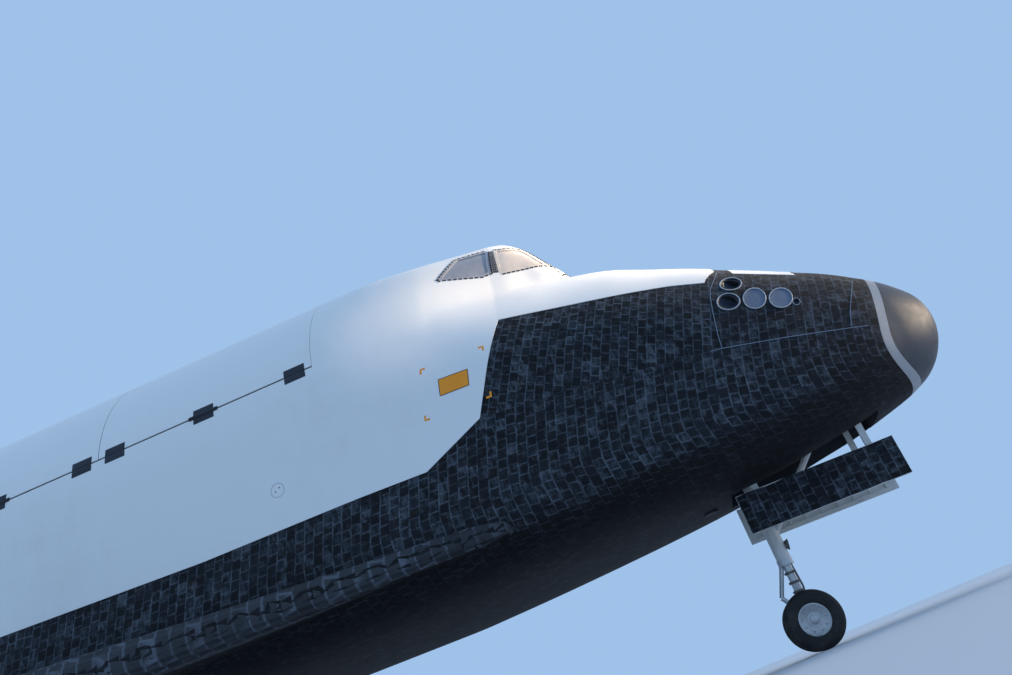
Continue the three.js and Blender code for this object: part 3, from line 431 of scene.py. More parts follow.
class HullForm:
    """The outer surface of the fuselage, with the cockpit faired into it."""

    STEPS = 241

    def __init__(self) -> None:
        """Read the two tables of sections."""
        self.hull = SectionTable(HULL_ROWS)
        self.cockpit = SectionTable(COCKPIT_ROWS)

    def centre(self, station: np.ndarray) -> np.ndarray:
        """The middle height that rays start from."""
        return (self.hull.at("foot", station) + self.hull.at("head", station)) / 2

    def radius(self, station: np.ndarray, angle: np.ndarray) -> np.ndarray:
        """Measure from the middle height to the surface.

        Args:
            station: The stations of the rays.
            angle: Their angles from straight down.

        Returns:
            The distances, in which the cockpit runs into the hull by a fillet.
        """
        centre = self.centre(station)
        hull = self.hull.reach(station, angle, centre, False)
        cockpit = self.cockpit.reach(station, angle, centre, True)
        there = (station > self.cockpit.first) & (station < self.cockpit.last)
        cockpit = np.where(there & (angle > math.pi / 2), cockpit, 0)
        width = np.interp(station, [row[0] for row in FAIRING], [row[1] for row in FAIRING])
        width = np.maximum(np.where(there, width, 0), 1e-6)
        share = np.maximum(width - np.abs(hull - cockpit), 0) / width
        return np.maximum(hull, cockpit) + share * share * width / 4

    def bare(self, station: np.ndarray, angle: np.ndarray) -> np.ndarray:
        """The places on the surface of the starboard side, at some stations and angles."""
        station, angle = np.broadcast_arrays(np.asarray(station, float), np.asarray(angle, float))
        radius = self.radius(station, angle)
        height = self.centre(station) - radius * np.cos(angle)
        return np.stack([station, -radius * np.sin(angle), height], -1)

    def normal(self, station: np.ndarray, angle: np.ndarray) -> np.ndarray:
        """The outward normals there.

        Args:
            station: The stations.
            angle: The angles from straight down.

        Returns:
            Unit vectors along the airframe's axes.
        """
        station, angle = np.broadcast_arrays(np.asarray(station, float), np.asarray(angle, float))
        step = 12.0
        turn = 0.004
        along = self.bare(station + step, angle) - self.bare(np.maximum(station - step, 0.01), angle)
        around = self.bare(station, angle + turn) - self.bare(station, angle - turn)
        normal = np.cross(around, along)
        normal /= np.maximum(np.linalg.norm(normal, axis=-1, keepdims=True), 1e-9)
        outward = np.stack([np.zeros_like(station), -np.sin(angle), -np.cos(angle)], -1)
        return normal * np.sign((normal * outward).sum(-1, keepdims=True) + 1e-12)

    def place(self, station: np.ndarray, angle: np.ndarray, lift: float = 0.0) -> np.ndarray:
        """The places at a distance outside the surface."""
        bare = self.bare(station, angle)
        return bare + self.normal(station, angle) * lift if lift else bare

    def leaning(
        self,
        base: float,
        lean: float,
        angle: np.ndarray,
        bend: float = NOWHERE,
        curl: float = 0.0,
        top: float = LEAN_TOP,
    ) -> np.ndarray:
        """The stations at which a leaning cut crosses the surface.

        Args:
            base: The cut's station at the height of the nose tip.
            lean: How far it moves aft for each step down.
            angle: The angles from straight down.
            bend: The height under which it goes straight down.
            curl: How far it moves forward again for each step down under the chine.
            top: The height over which it goes straight up.

        Returns:
            The stations.
        """
        station = np.full_like(angle, base)
        for _ in range(12):
            height = self.centre(station) - self.radius(station, angle) * np.cos(angle)
            leant = base + lean * (TIP_HEIGHT - np.clip(height, bend, top))
            under = np.maximum(CURL_TOP - height, 0) / CURL_REACH
            bent = np.minimum(under, 1)
            station = np.maximum(leant - curl * CURL_REACH * (0.48 * bent**2.5 + 1.2 * (under - bent)), 0.01)
        return station

    def ring(
        self,
        base: float,
        lean: float = 0.0,
        lift: float = 0.0,
        bend: float = NOWHERE,
        curl: float = 0.0,
        top: float = LEAN_TOP,
    ) -> Ring:
        """A line round the starboard side.

        Args:
            base: Its station at the height of the nose tip.
            lean: How far it moves aft for each step down.
            lift: Its distance outside the surface.
            bend: The height under which it goes straight down.
            curl: How far it moves forward again for each step down under the chine.
            top: The height over which it goes straight up.

        Returns:
            The line.
        """
        angle = np.linspace(0, math.pi, self.STEPS)
        station = self.leaning(base, lean, angle, bend, curl, top) if lean else np.full_like(angle, base)
        bare = self.bare(station, angle)
        bare[0, 1] = 0
        bare[-1, 1] = 0
        girth = lengths_along(bare)
        if lift:
            normal = self.normal(station, angle)
            normal[0] = (0, 0, -1)
            normal[-1, 1] = 0
            bare = bare + normal * lift
        return Ring(bare, girth)

    def angle_at_height(self, station: np.ndarray, height: np.ndarray) -> np.ndarray:
        """The angles at which the side reaches some heights.

        Args:
            station: The stations.
            height: The heights.

        Returns:
            The angles from straight down.
        """
        station, height = np.broadcast_arrays(np.asarray(station, float), np.asarray(height, float))

        def below(angle: np.ndarray) -> np.ndarray:
            """Whether the surface is still under the heights."""
            return self.centre(station) - self.radius(station, angle) * np.cos(angle) < height

        return sum(halved(np.full(station.shape, 0.05), np.full(station.shape, math.pi - 0.001), below)) / 2

    def on_side(self, station: np.ndarray, height: np.ndarray, lift: float = 0.0) -> np.ndarray:
        """The places on the starboard side at some stations and heights."""
        return self.place(station, self.angle_at_height(station, height), lift)

    def angle_at_side(self, station: np.ndarray, side: np.ndarray) -> np.ndarray:
        """The angles at which the upper surface reaches some distances from the middle.

        Args:
            station: The stations.
            side: The distances.

        Returns:
            The angles from straight down.
        """
        station, side = np.broadcast_arrays(np.asarray(station, float), np.abs(np.asarray(side, float)))

        def wider(angle: np.ndarray) -> np.ndarray:
            """Whether the surface is still further out than the distances."""
            return self.radius(station, angle) * np.sin(angle) > side

        near = np.full(station.shape, math.radians(105))
        return sum(halved(near, np.full(station.shape, math.pi), wider)) / 2

    def on_top(self, station: np.ndarray, side: np.ndarray, lift: float = 0.0) -> np.ndarray:
        """The places on the starboard half of the upper surface, at some distances from the middle."""
        return self.place(station, self.angle_at_side(station, side), lift)


FORM = HullForm()


# Sections of a wing. The columns are the distance from the middle, the station and the height of the leading
# edge, the heights of the top and of the underside, and which of the two laws of thickness holds.
WING_ROWS = [
    (1900, 6700, 480, 1500, 0, 0),
    (2667, 6706, 480, 1500, 0, 0),
    (4775, 20015, 600, 1400, 70, 1),
    (8300, 23540, 800, 1330, 450, 1),
    (11896, 27134, 1040, 1265, 810, 1),
]
CHORD_SHARES = np.array([0, 0.004, 0.02, 0.06, 0.14, 0.27, 0.42, 0.6, 0.8, 1])
THICKNESS = np.array([
    [0, 0.1, 0.17, 0.2, 0.24, 0.33, 0.5, 0.86, 1, 0.5],
    [0, 0.16, 0.34, 0.53, 0.73, 0.9, 0.99, 1, 0.86, 0.6],
])
ELEVON_HINGE = 29235
GREY_EDGE_START = 14500
# The leading edge's corners as station and distance from the middle: where the glove leaves the fuselage,
# where it meets the wing, and the tip. After them the line along which the grey panels end on the underside.
GLOVE_START = (6706, 2667)
EDGE_BEND = (20015, 4775)
EDGE_TIP = (27134, 11896)
GREY_BEND = (20435, 4735)
GREY_TIP = (27754, 12096)


def glove_side(station: float | np.ndarray) -> float | np.ndarray:
    """The distance of the glove's leading edge from the middle."""
    share = (station - GLOVE_START[0]) / (EDGE_BEND[0] - GLOVE_START[0])
    return GLOVE_START[1] + share * (EDGE_BEND[1] - GLOVE_START[1])


class WingForm:
    """The outer surface of the starboard wing. Distances from the middle are counted as positive."""

    def __init__(self) -> None:
        """Work out the sections."""
        self.sides = np.array([row[0] for row in WING_ROWS], float)
        sections = []
        for side, lead, edge, top, under, law in WING_ROWS:
            radius, height = self.hinge(max(side, 3100))
            station = lead + CHORD_SHARES * (ELEVON_HINGE - radius - 28 - lead)
            upper = edge + THICKNESS[law] * (top - edge)
            sink = np.minimum(1, THICKNESS[law] * 1.25 + np.where(CHORD_SHARES > 0.3, 0.25, 0))
            lower = edge - sink * (edge - under)
            upper[-1] = height + radius
            lower[-1] = height - radius
            sections.append([station, upper, lower])
        self.sections = np.array(sections)

    @staticmethod
    def hinge(side: float) -> tuple[float, float]:
        """The elevons' nose radius and the height of their hinge line."""
        return 350 - 0.0225 * (side - 3000), 400 + 0.063 * (side - 3000)

    def section(self, side: float) -> np.ndarray:
        """Stations, upper and lower heights of the section at a distance from the middle."""
        side = min(max(side, self.sides[0]), self.sides[-1])
        i = min(int(np.searchsorted(self.sides, side)), len(self.sides) - 1)
        i = max(i, 1)
        share = (side - self.sides[i - 1]) / (self.sides[i] - self.sides[i - 1])
        return self.sections[i - 1] * (1 - share) + self.sections[i] * share

    def lead(self, side: float) -> float:
        """The leading edge's station."""
        return float(self.section(side)[0, 0])

    def rear(self, side: float) -> float:
        """The rear face's station."""
        return float(self.section(side)[0, -1])

    def track(self, path: np.ndarray, outward: np.ndarray, lift: float) -> Ring:
        """A line along the surface.

        Args:
            path: Rows of station, distance from the middle and 1 on the top or 0 on the underside.
            outward: The direction seen from above in which it starts, on the underside.
            lift: Its distance outside the surface.

        Returns:
            The line.
        """
        places = []
        for station, side, above in path:
            section = self.section(side)
            height = np.interp(station, section[0], section[1 if above else 2])
            places.append((station, side, height))
        places = np.array(places)
        along = np.gradient(places, axis=0)
        across = np.cross(np.array([*outward, 0.0]), np.array([0.0, 0.0, 1.0]))
        normal = np.cross(along, across)
        normal /= np.maximum(np.linalg.norm(normal, axis=1, keepdims=True), 1e-9)
        places = (places + normal * lift) * (1, -1, 1)
        return Ring(places, lengths_along(places))

    def wrap(
        self,
        lead: Sequence[float],
        inward: Sequence[float],
        below: float,
        above: float,
        lift: float,
    ) -> Ring:
        """A line from the underside round the leading edge to the top.

        Args:
            lead: Station and distance from the middle of the point that it goes round.
            inward: The direction seen from above, into the wing.
            below: How deep in the underside it starts.
            above: How deep in the top it ends.
            lift: Its distance outside the surface.

        Returns:
            The line.
        """
        share = np.linspace(0, 1, 40) ** 2
        flat = [(below * each, 0) for each in share[:0:-1]] + [(above * each, 1) for each in share]
        path = np.array([(*(np.array(lead) + np.array(inward) * deep), top) for deep, top in flat])
        return self.track(path, -np.array(inward, float), lift)


WING = WingForm()


# Modelling by operators


def named(name: str) -> Piece:
    """Name the piece that was added last."""
    piece = bpy.context.object
    piece.name = name
    piece.data.name = name
    return piece


def copied(piece: Piece, name: str) -> Piece:
    """Copy a piece, with a mesh of its own."""
    copy = piece.copy()
    copy.data = piece.data.copy()
    copy.name = copy.data.name = name
    bpy.context.scene.collection.objects.link(copy)
    return copy


def deselect() -> None:
    """Leave object mode with nothing selected."""
    if bpy.context.object and bpy.context.object.mode != "OBJECT":
        bpy.ops.object.mode_set(mode="OBJECT")
    bpy.ops.object.select_all(action="DESELECT")


def pick(piece: Piece) -> None:
    """Make one piece the only selected and the active one."""
    deselect()
    piece.select_set(True)
    bpy.context.view_layer.objects.active = piece


@contextmanager
def editing(piece: Piece, kind: str = "FACE", whole: bool = False) -> Iterator[None]:
    """Work on a piece in edit mode.

    Args:
        piece: The piece.
        kind: What is selected in it: VERT, EDGE or FACE.
        whole: Whether all of it is selected first.

    Yields:
        Nothing, in edit mode.
    """
    pick(piece)
    kinds = ("VERT", "EDGE", "FACE")
    bpy.context.tool_settings.mesh_select_mode = tuple(kind == each for each in kinds)
    bpy.ops.object.mode_set(mode="EDIT")
    if whole:
        bpy.ops.mesh.select_all(action="SELECT")
    try:
        yield
    finally:
        bpy.ops.object.mode_set(mode="OBJECT")


def mark(piece: Piece, kind: str, chosen: np.ndarray) -> None:
    """Select elements of a piece before edit mode.

    Args:
        piece: The piece.
        kind: VERT, EDGE or FACE.
        chosen: One truth value to an element.
    """
    mesh = piece.data
    lists = {"VERT": mesh.vertices, "EDGE": mesh.edges, "FACE": mesh.polygons}
    for name, elements in lists.items():
        flags = chosen if name == kind else np.zeros(len(elements), bool)
        elements.foreach_set("select", np.asarray(flags, bool))


def points_of(piece: Piece) -> np.ndarray:
    """The points of a piece's mesh."""
    flat = np.empty(len(piece.data.vertices) * 3, np.float32)
    piece.data.vertices.foreach_get("co", flat)
    return flat.reshape(-1, 3).astype(float)


def set_points(piece: Piece, points: np.ndarray) -> None:
    """Move the points of a piece's mesh."""
    piece.data.vertices.foreach_set("co", np.asarray(points, np.float32).ravel())
    piece.data.update()


def face_array(piece: Piece, name: str) -> np.ndarray:
    """Read the centres or the normals of all faces."""
    flat = np.empty(len(piece.data.polygons) * 3, np.float32)
    piece.data.polygons.foreach_get(name, flat)
    return flat.reshape(-1, 3).astype(float)


def settle(piece: Piece) -> Piece:
    """Apply a piece's place, turn and size to its mesh."""
    pick(piece)
    bpy.ops.object.transform_apply(location=True, rotation=True, scale=True)
    return piece


def modify(piece: Piece, kind: str, **settings: object) -> Piece:
    """Add a modifier and apply it.

    Args:
        piece: The piece.
        kind: The modifier's type.
        **settings: Its settings.

    Returns:
        The piece.
    """
    pick(piece)
    modifier = piece.modifiers.new(kind.title(), kind)
    for name, value in settings.items():
        setattr(modifier, name, value)
    bpy.ops.object.modifier_apply(modifier=modifier.name)
    return piece


def carve(piece: Piece, cutter: Piece, how: str = "DIFFERENCE") -> Piece:
    """Cut one closed piece with another, which is then removed."""
    modify(piece, "BOOLEAN", operation=how, object=cutter, solver="EXACT")
    bpy.data.objects.remove(cutter)
    return piece


def join(name: str, pieces: Sequence[Piece]) -> Piece:
    """Join pieces into one.

    Args:
        name: The new piece's name.
        pieces: What is joined.

    Returns:
        The joined piece.
    """
    pick(pieces[0])
    for piece in pieces[1:]:
        piece.select_set(True)
    if len(pieces) > 1:
        bpy.ops.object.join()
    joined = bpy.context.view_layer.objects.active
    joined.name = name
    joined.data.name = name
    return joined


def twin(piece: Piece, name: str) -> Piece:
    """Copy a piece to the other side of the craft, with a mesh of its own."""
    copy = copied(piece, name)
    copy.data.transform(Matrix.Scale(-1, 4, (0, 1, 0)))
    copy.data.flip_normals()
    copy.data.update()
    return copy


def repeat(piece: Piece, moves: Sequence[Matrix]) -> list[Piece]:
    """Copy a piece to several places.

    Args:
        piece: The model, which is used up.
        moves: Where each copy goes.

    Returns:
        The copies, each with its own mesh.
    """
    copies = []
    for move in moves:
        copies.append(copied(piece, piece.name))
        copies[-1].data.transform(move)
    bpy.data.objects.remove(piece)
    return copies


def smooth(piece: Piece, angle: float = 35) -> Piece:
    """Shade a piece smoothly but for its sharp edges."""
    pick(piece)
    bpy.ops.object.shade_smooth_by_angle(angle=math.radians(angle))
    return piece


def face_out(piece: Piece) -> Piece:
    """Merge the doubles of a closed piece and turn its faces outwards."""
    with editing(piece, whole=True):
        bpy.ops.mesh.remove_doubles(threshold=1e-5)
        bpy.ops.mesh.normals_make_consistent(inside=False)
    return piece


def sheet(name: str, places: np.ndarray) -> Piece:
    """Lay a grid on given places of the airframe.

    Args:
        name: The piece's name.
        places: Rows of places, as an array of rows by columns by three.

    Returns:
        The sheet, facing away from the fuselage's middle.
    """
    rows, columns = places.shape[:2]
    deselect()
    bpy.ops.mesh.primitive_grid_add(x_subdivisions=rows - 1, y_subdivisions=columns - 1, size=2)
    piece = named(name)
    flat = points_of(piece)
    row = np.rint((flat[:, 0] + 1) / 2 * (rows - 1)).astype(int)
    column = np.rint((flat[:, 1] + 1) / 2 * (columns - 1)).astype(int)
    set_points(piece, STANCE.points(places)[row, column])
    for label, index in (("row", row), ("column", column)):
        layer = piece.data.attributes.new(label, "FLOAT", "POINT")
        layer.data.foreach_set("value", index.astype(np.float32))
    return piece


def turned(name: str, profile: Sequence[tuple[float, float]], steps: int = 48) -> Piece:
    """Spin a closed outline round the Z axis, as on a lathe.

    Args:
        name: The piece's name.
        profile: Pairs of radius and height in millimetres, in order round the outline.
        steps: The number of steps in a full turn.

    Returns:
        The piece, upright at the origin.
    """
    deselect()
    bpy.ops.mesh.primitive_circle_add(vertices=len(profile), radius=1, fill_type="NOTHING")
    piece = named(name)
    set_points(piece, np.array([(radius * MM, 0, height * MM) for radius, height in profile]))
    with editing(piece, "VERT", whole=True):
        bpy.ops.mesh.spin(steps=steps, angle=math.tau, center=(0, 0, 0), axis=(0, 0, 1))
    return face_out(piece)


def aim(piece: Piece, at: Vector, way: Vector) -> Piece:
    """Move an upright piece to a point and turn its Z axis along a direction."""
    piece.data.transform(Matrix.Translation(at) @ way.to_track_quat("Z", "Y").to_matrix().to_4x4())
    return piece


def bar(
    name: str,
    start: Vector,
    end: Vector,
    radius: float,
    thin: float | None = None,
    sides: int = 24,
) -> Piece:
    """A round bar with softened ends.

    Args:
        name: The piece's name.
        start: The middle of its first end, in metres.
        end: The middle of its second end.
        radius: Its radius in millimetres.
        thin: Its radius at the second end.
        sides: How many sides it has.

    Returns:
        The bar.
    """
    deselect()
    along = end - start
    thin = radius if thin is None else thin
    sizes = {"radius1": radius * MM, "radius2": thin * MM, "depth": along.length}
    bpy.ops.mesh.primitive_cone_add(vertices=sides, **sizes)
    piece = named(name)
    chosen = np.abs(face_array(piece, "normal")[:, 2]) > 0.9
    mark(piece, "FACE", chosen)
    with editing(piece):
        bpy.ops.mesh.inset(thickness=min(radius, thin) * MM * 0.12, depth=min(radius, thin) * MM * 0.1)
    return aim(piece, (start + end) / 2, along.normalized())


def block(name: str, low: Vector, high: Vector, edge: float = 0.006) -> Piece:
    """A block with bevelled edges between two corners in metres."""
    deselect()
    bpy.ops.mesh.primitive_cube_add(size=1, location=(low + high) / 2, scale=high - low)
    piece = settle(bpy.context.object)
    piece.name = name
    piece.data.name = name
    return modify(piece, "BEVEL", width=edge, segments=2, limit_method="ANGLE")


def fitted(name: str, low: Sequence[float], high: Sequence[float], edge: float = 6) -> Piece:
    """A bevelled block square to the airframe.

    Args:
        name: The piece's name.
        low: Its lowest station, side and height.
        high: Its highest.
        edge: The bevel's width in millimetres.

    Returns:
        The block.
    """
    first = Vector((-high[0], low[1], low[2])) * MM
    last = Vector((-low[0], high[1], high[2])) * MM
    piece = block(name, first, last, edge * MM)
    piece.data.transform(STANCE.matrix())
    return piece


def pipe(name: str, corners: Sequence[Sequence[float]], radius: float) -> Piece:
    """A bent pipe through places on the airframe."""
    points = [STANCE.point(*corner) for corner in corners]
    runs = []
    for start, end in zip(points, points[1:]):
        reach = (end - start).normalized() * radius * MM * 0.5
        runs.append(bar("run", start - reach, end + reach, radius, sides=12))
    return smooth(join(name, runs), 40)


def prism(name: str, outline: np.ndarray, way: Vector, depth: float, corner: float = 0.0) -> Piece:
    """A flat outline with rounded corners, drawn out along a direction.

    Args:
        name: The piece's name.
        outline: The corners' points in metres.
        way: The direction.
        depth: How far it is drawn out.
        corner: The size of the rounding.

    Returns:
        The closed prism.
    """
    deselect()
    bpy.ops.mesh.primitive_circle_add(vertices=len(outline), radius=1, fill_type="NGON")
    piece = bpy.context.object
    piece.name = name
    set_points(piece, np.asarray(outline))
    with editing(piece, "VERT", whole=True):
        if corner:
            bpy.ops.mesh.bevel(offset=corner, segments=6, affect="VERTICES")
        bpy.ops.mesh.extrude_region_move(TRANSFORM_OT_translate={"value": way * depth})
        bpy.ops.mesh.select_all(action="SELECT")
        bpy.ops.mesh.normals_make_consistent(inside=False)
    return piece


def turn_to(piece: Piece, outward: Callable[[np.ndarray], np.ndarray]) -> Piece:
    """Flip a sheet if its faces look the wrong way.

    Args:
        piece: The sheet.
        outward: Gives the outward directions at some points.

    Returns:
        The sheet.
    """
    normals = face_array(piece, "normal")
    centres = face_array(piece, "center")
    if (normals * outward(centres)).sum() < 0:
        piece.data.flip_normals()
    return piece


def facing(way: Sequence[float]) -> Callable[[np.ndarray], np.ndarray]:
    """Make a rule that gives one direction at all points."""
    return lambda points: np.tile(way, (len(points), 1))


def from_axis(points: np.ndarray) -> np.ndarray:
    """Directions away from a line along the middle of the fuselage."""
    station = STANCE.centre - points[:, 0] * METRE
    return points - STANCE.points(np.stack([station, 0 * station, 0 * station + HULL_AXIS], -1))


def from_glove(points: np.ndarray) -> np.ndarray:
    """Directions away from a line inside the starboard leading edge."""
    inset = 320
    low = 560
    rise = 0.05
    station = STANCE.centre - points[:, 0] * METRE
    outer = np.where(station < EDGE_BEND[0], glove_side(station), EDGE_BEND[1] + (station - EDGE_BEND[0]))
    height = 0 * station + low + (outer - GLOVE_START[1]) * rise
    return points - STANCE.points(np.stack([station, inset - outer, height], -1))


# Finishes


class Value:
    """A shader value whose arithmetic adds Math nodes."""

    def __init__(self, bench: "Bench", socket: bpy.types.NodeSocket) -> None:
        """Keep the socket and the bench that it is on."""
        self.bench = bench
        self.socket = socket

    def math(self, operation: str, *others: "Value | float", clamp: bool = False) -> "Value":
        """Add a Math node that takes this value first."""
        values = {0: self, **{i + 1: other for i, other in enumerate(others)}}
        return self.bench.node("Math", {"operation": operation, "use_clamp": clamp}, values)

    def __add__(self, other: "Value | float") -> "Value":
        """Sum."""
        return self.math("ADD", other)

    __radd__ = __add__

    def __sub__(self, other: "Value | float") -> "Value":
        """Difference."""
        return self.math("SUBTRACT", other)

    def __rsub__(self, other: float) -> "Value":
        """Difference from a number."""
        return self.bench.node("Math", {"operation": "SUBTRACT"}, {0: other, 1: self})

    def __mul__(self, other: "Value | float") -> "Value":
        """Product."""
        return self.math("MULTIPLY", other)

    __rmul__ = __mul__

    def __truediv__(self, other: "Value | float") -> "Value":
        """Quotient."""
        return self.math("DIVIDE", other)

    def fraction(self) -> "Value":
        """What is left over the whole number."""
        return self.math("FRACT")

    def least(self, other: "Value | float") -> "Value":
        """The smaller of two."""
        return self.math("MINIMUM", other)

    def most(self, other: "Value | float") -> "Value":
        """The larger of two."""
        return self.math("MAXIMUM", other)

    def over(self, other: "Value | float") -> "Value":
        """One where it is greater, and otherwise nothing."""
        return self.math("GREATER_THAN", other)

    def rise(self, start: float, end: float) -> "Value":
        """A smooth step from 0 at one value to 1 at another."""
        settings = {"interpolation_type": "SMOOTHSTEP"}
        if start <= end:
            return self.bench.node("MapRange", settings, {0: self, 1: start, 2: end})
        return self.bench.node("MapRange", settings, {0: self, 1: end, 2: start, 3: 1.0, 4: 0.0})


Tint = Value | Colour


class Bench:
    """The node tree of one material."""

    def __init__(self, name: str) -> None:
        """Start a material with an empty tree."""
        self.material = bpy.data.materials.new(name)
        self.material.use_nodes = True
        self.tree = self.material.node_tree
        self.tree.nodes.clear()
        self.place = self.node("TexCoord", {}, {}, "Object")

    def node(
        self,
        kind: str,
        settings: dict[str, object],
        values: dict[str | int, object],
        output: str | int = 0,
    ) -> Value:
        """Add a node.

        Args:
            kind: Its type, without the words ShaderNode.
            settings: Its settings, which are set first.
            values: Numbers, colours or links by the name or place of their sockets.
            output: The output that is used.

        Returns:
            The output's value.
        """
        node = self.tree.nodes.new("ShaderNode" + kind)
        for name, setting in settings.items():
            setattr(node, name, setting)
        for name, value in values.items():
            if isinstance(value, Value):
                self.tree.links.new(value.socket, node.inputs[name])
            elif isinstance(value, tuple) and node.inputs[name].type == "RGBA":
                node.inputs[name].default_value = (*value, 1)
            else:
                node.inputs[name].default_value = value
        return Value(self, node.outputs[output])

    def noise(
        self,
        scale: float,
        detail: float = 3,
        rough: float = 0.55,
        place: Value | None = None,
    ) -> Value:
        """A noise pattern from 0 to 1 with a number of lumps to the metre."""
        values = {"Vector": place or self.place, "Scale": scale, "Detail": detail, "Roughness": rough}
        return self.node("TexNoise", {}, values)

    def stretched(self, ahead: float, side: float, up: float) -> Value:
        """Object coordinates drawn out along the axes."""
        values = {"Vector": self.place, "Scale": Vector((ahead, side, up))}
        return self.node("Mapping", {"vector_type": "POINT"}, values)

    def part(self, axis: str, vector: Value | None = None) -> Value:
        """One axis of a vector."""
        return self.node("SeparateXYZ", {}, {0: vector or self.place}, axis)

    def mix(self, first: Tint, second: Tint, share: Value | float) -> Value:
        """A colour between two."""
        return self.node("Mix", {"data_type": "RGBA"}, {0: share, 6: first, 7: second}, 2)

    def bump(self, height: Value, depth: float) -> Value:
        """A normal from a height that stands for a depth in metres."""
        return self.node("Bump", {}, {"Height": height, "Distance": depth, "Strength": 1.0})

    def finish(
        self,
        colour: Tint,
        rough: Value | float,
        metal: Value | float = 0.0,
        **more: object,
    ) -> Material:
        """Wire up the surface.

        Args:
            colour: The base colour.
            rough: The roughness.
            metal: The metalness.
            **more: Other sockets of the shader, with _ for each space.

        Returns:
            The material.
        """
        values = {"Base Color": colour, "Roughness": rough, "Metallic": metal}
        values.update({name.replace("_", " "): value for name, value in more.items()})
        surface = self.node("BsdfPrincipled", {}, values)
        end = self.tree.nodes.new("ShaderNodeOutputMaterial")
        self.tree.links.new(surface.socket, end.inputs["Surface"])
        return self.material


@dataclass(frozen=True)
class TileFinish:
    """Fired black tiles, each worn and mottled in its own way, and darkened by painted shade where they face
    down.

    Args:
        name: The finish's name.
        dark: The darkest tiles.
        light: The lightest tiles.
        worn: Rubbed edges and scuffs.
        warm: Brownish stains.
        underside_shade: The near black of painted shade on faces that look down.
    """

    name: str = "black_tile"
    dark: Colour = srgb(7, 10, 16)
    light: Colour = srgb(35, 41, 51)
    worn: Colour = srgb(116, 126, 138)
    warm: Colour = srgb(52, 42, 37)
    underside_shade: Colour = srgb(9, 8, 9)

    def material(self) -> Material:
        """Build the finish."""
        b = Bench(self.name)
        tile = b.node("UVMap", {"uv_map": "tile"}, {})
        aft = b.part("X", tile)
        up = b.part("Y", tile)
        tone = b.node("Attribute", {"attribute_name": "tone"}, {}, "Fac")
        second = (tone * 57.31).fraction()
        third = (tone * 211.7).fraction()
        fine = b.noise(55, 4, 0.68)
        patch = b.noise(8, 3)
        broad = b.noise(0.6, 2)
        scratch = b.noise(26, 4, 0.7, b.stretched(1.0, 1.0, 0.22))
        side_rim = up.least(1 - up)
        rim = aft.least(1 - aft).least(side_rim)
        ragged = (fine - 0.5) * 0.3 + (patch - 0.5) * 0.2
        here = patch.rise(0.42, 0.62)
        rubbed = (rim + ragged).rise(0.12, 0.02) * (0.1 + 0.9 * third) * (0.1 + 0.9 * here)
        lower_edge = up.least(1 - aft)
        edge = (lower_edge + ragged).rise(0.14, 0.02) * (0.1 + 0.9 * second) * b.noise(4.5, 3).rise(0.42, 0.6)
        scuffed = (patch * 0.5 + scratch * 0.5 + (second - 0.5) * 0.12).rise(0.47, 0.68)
        colour = b.mix(self.dark, self.light, (tone * tone * 0.45 + (broad - 0.45) * 0.3).most(0.0))
        colour = b.mix(colour, self.warm, (patch * (1 - second)).rise(0.38, 0.7) * 0.4)
        outline = (rim + (fine - 0.5) * 0.08).rise(0.06, 0.02) * (0.12 + 0.88 * b.noise(7, 3).rise(0.4, 0.6))
        colour = b.mix(colour, self.worn, scuffed * (0.14 + 0.26 * third))
        colour = b.mix(colour, self.worn, (rubbed.most(edge) * 0.6).most(outline * (0.3 + 0.35 * second)))
        # Painted shade: faces that look down are darkened towards a near black.
        below = b.part("Z", b.node("NewGeometry", {}, {}, "Normal")).rise(-0.2, -0.65)
        colour = b.mix(colour, self.underside_shade, below * 0.88)
        rough = 0.66 + 0.25 * fine - 0.1 * scuffed
        relief = fine * 0.4 + scuffed * 0.3 + patch * 0.5
        return b.finish(colour, rough, 0.0, Normal=b.bump(relief, 0.0022), Specular_IOR_Level=0.3)


@dataclass(frozen=True)
class SkinFinish:
    """Smooth satin white skin with faint stains and a soft waviness.

    Args:
        name: The finish's name.
        clean: The paint's colour.
        stained: Where it has weathered.
        speck: Small specks of dirt.
        rough: The roughness of clean paint.
    """

    name: str = "white_skin"
    clean: Colour = srgb(236, 236, 234)
    stained: Colour = srgb(216, 213, 208)
    speck: Colour = srgb(150, 146, 138)
    rough: float = 0.4

    def material(self) -> Material:
        """Build the finish."""
        b = Bench(self.name)
        broad = b.noise(0.35, 3)
        middle = b.noise(2.2, 4, 0.6)
        fine = b.noise(38, 3)
        runs = b.noise(5, 3, 0.6, b.stretched(2.2, 2.2, 0.12))
        stain = (broad * 0.6 + runs * 0.15 + middle * 0.35).rise(0.5, 0.8)
        colour = b.mix(self.clean, self.stained, stain * 0.35)
        specks = b.noise(90, 2).rise(0.74, 0.82) * middle.rise(0.5, 0.7)
        colour = b.mix(colour, self.speck, specks * 0.25)
        rough = self.rough + 0.12 * middle + 0.1 * stain
        return b.finish(colour, rough, 0.0, Normal=b.bump(broad * 0.9 + middle * 0.08 + fine * 0.004, 0.02))


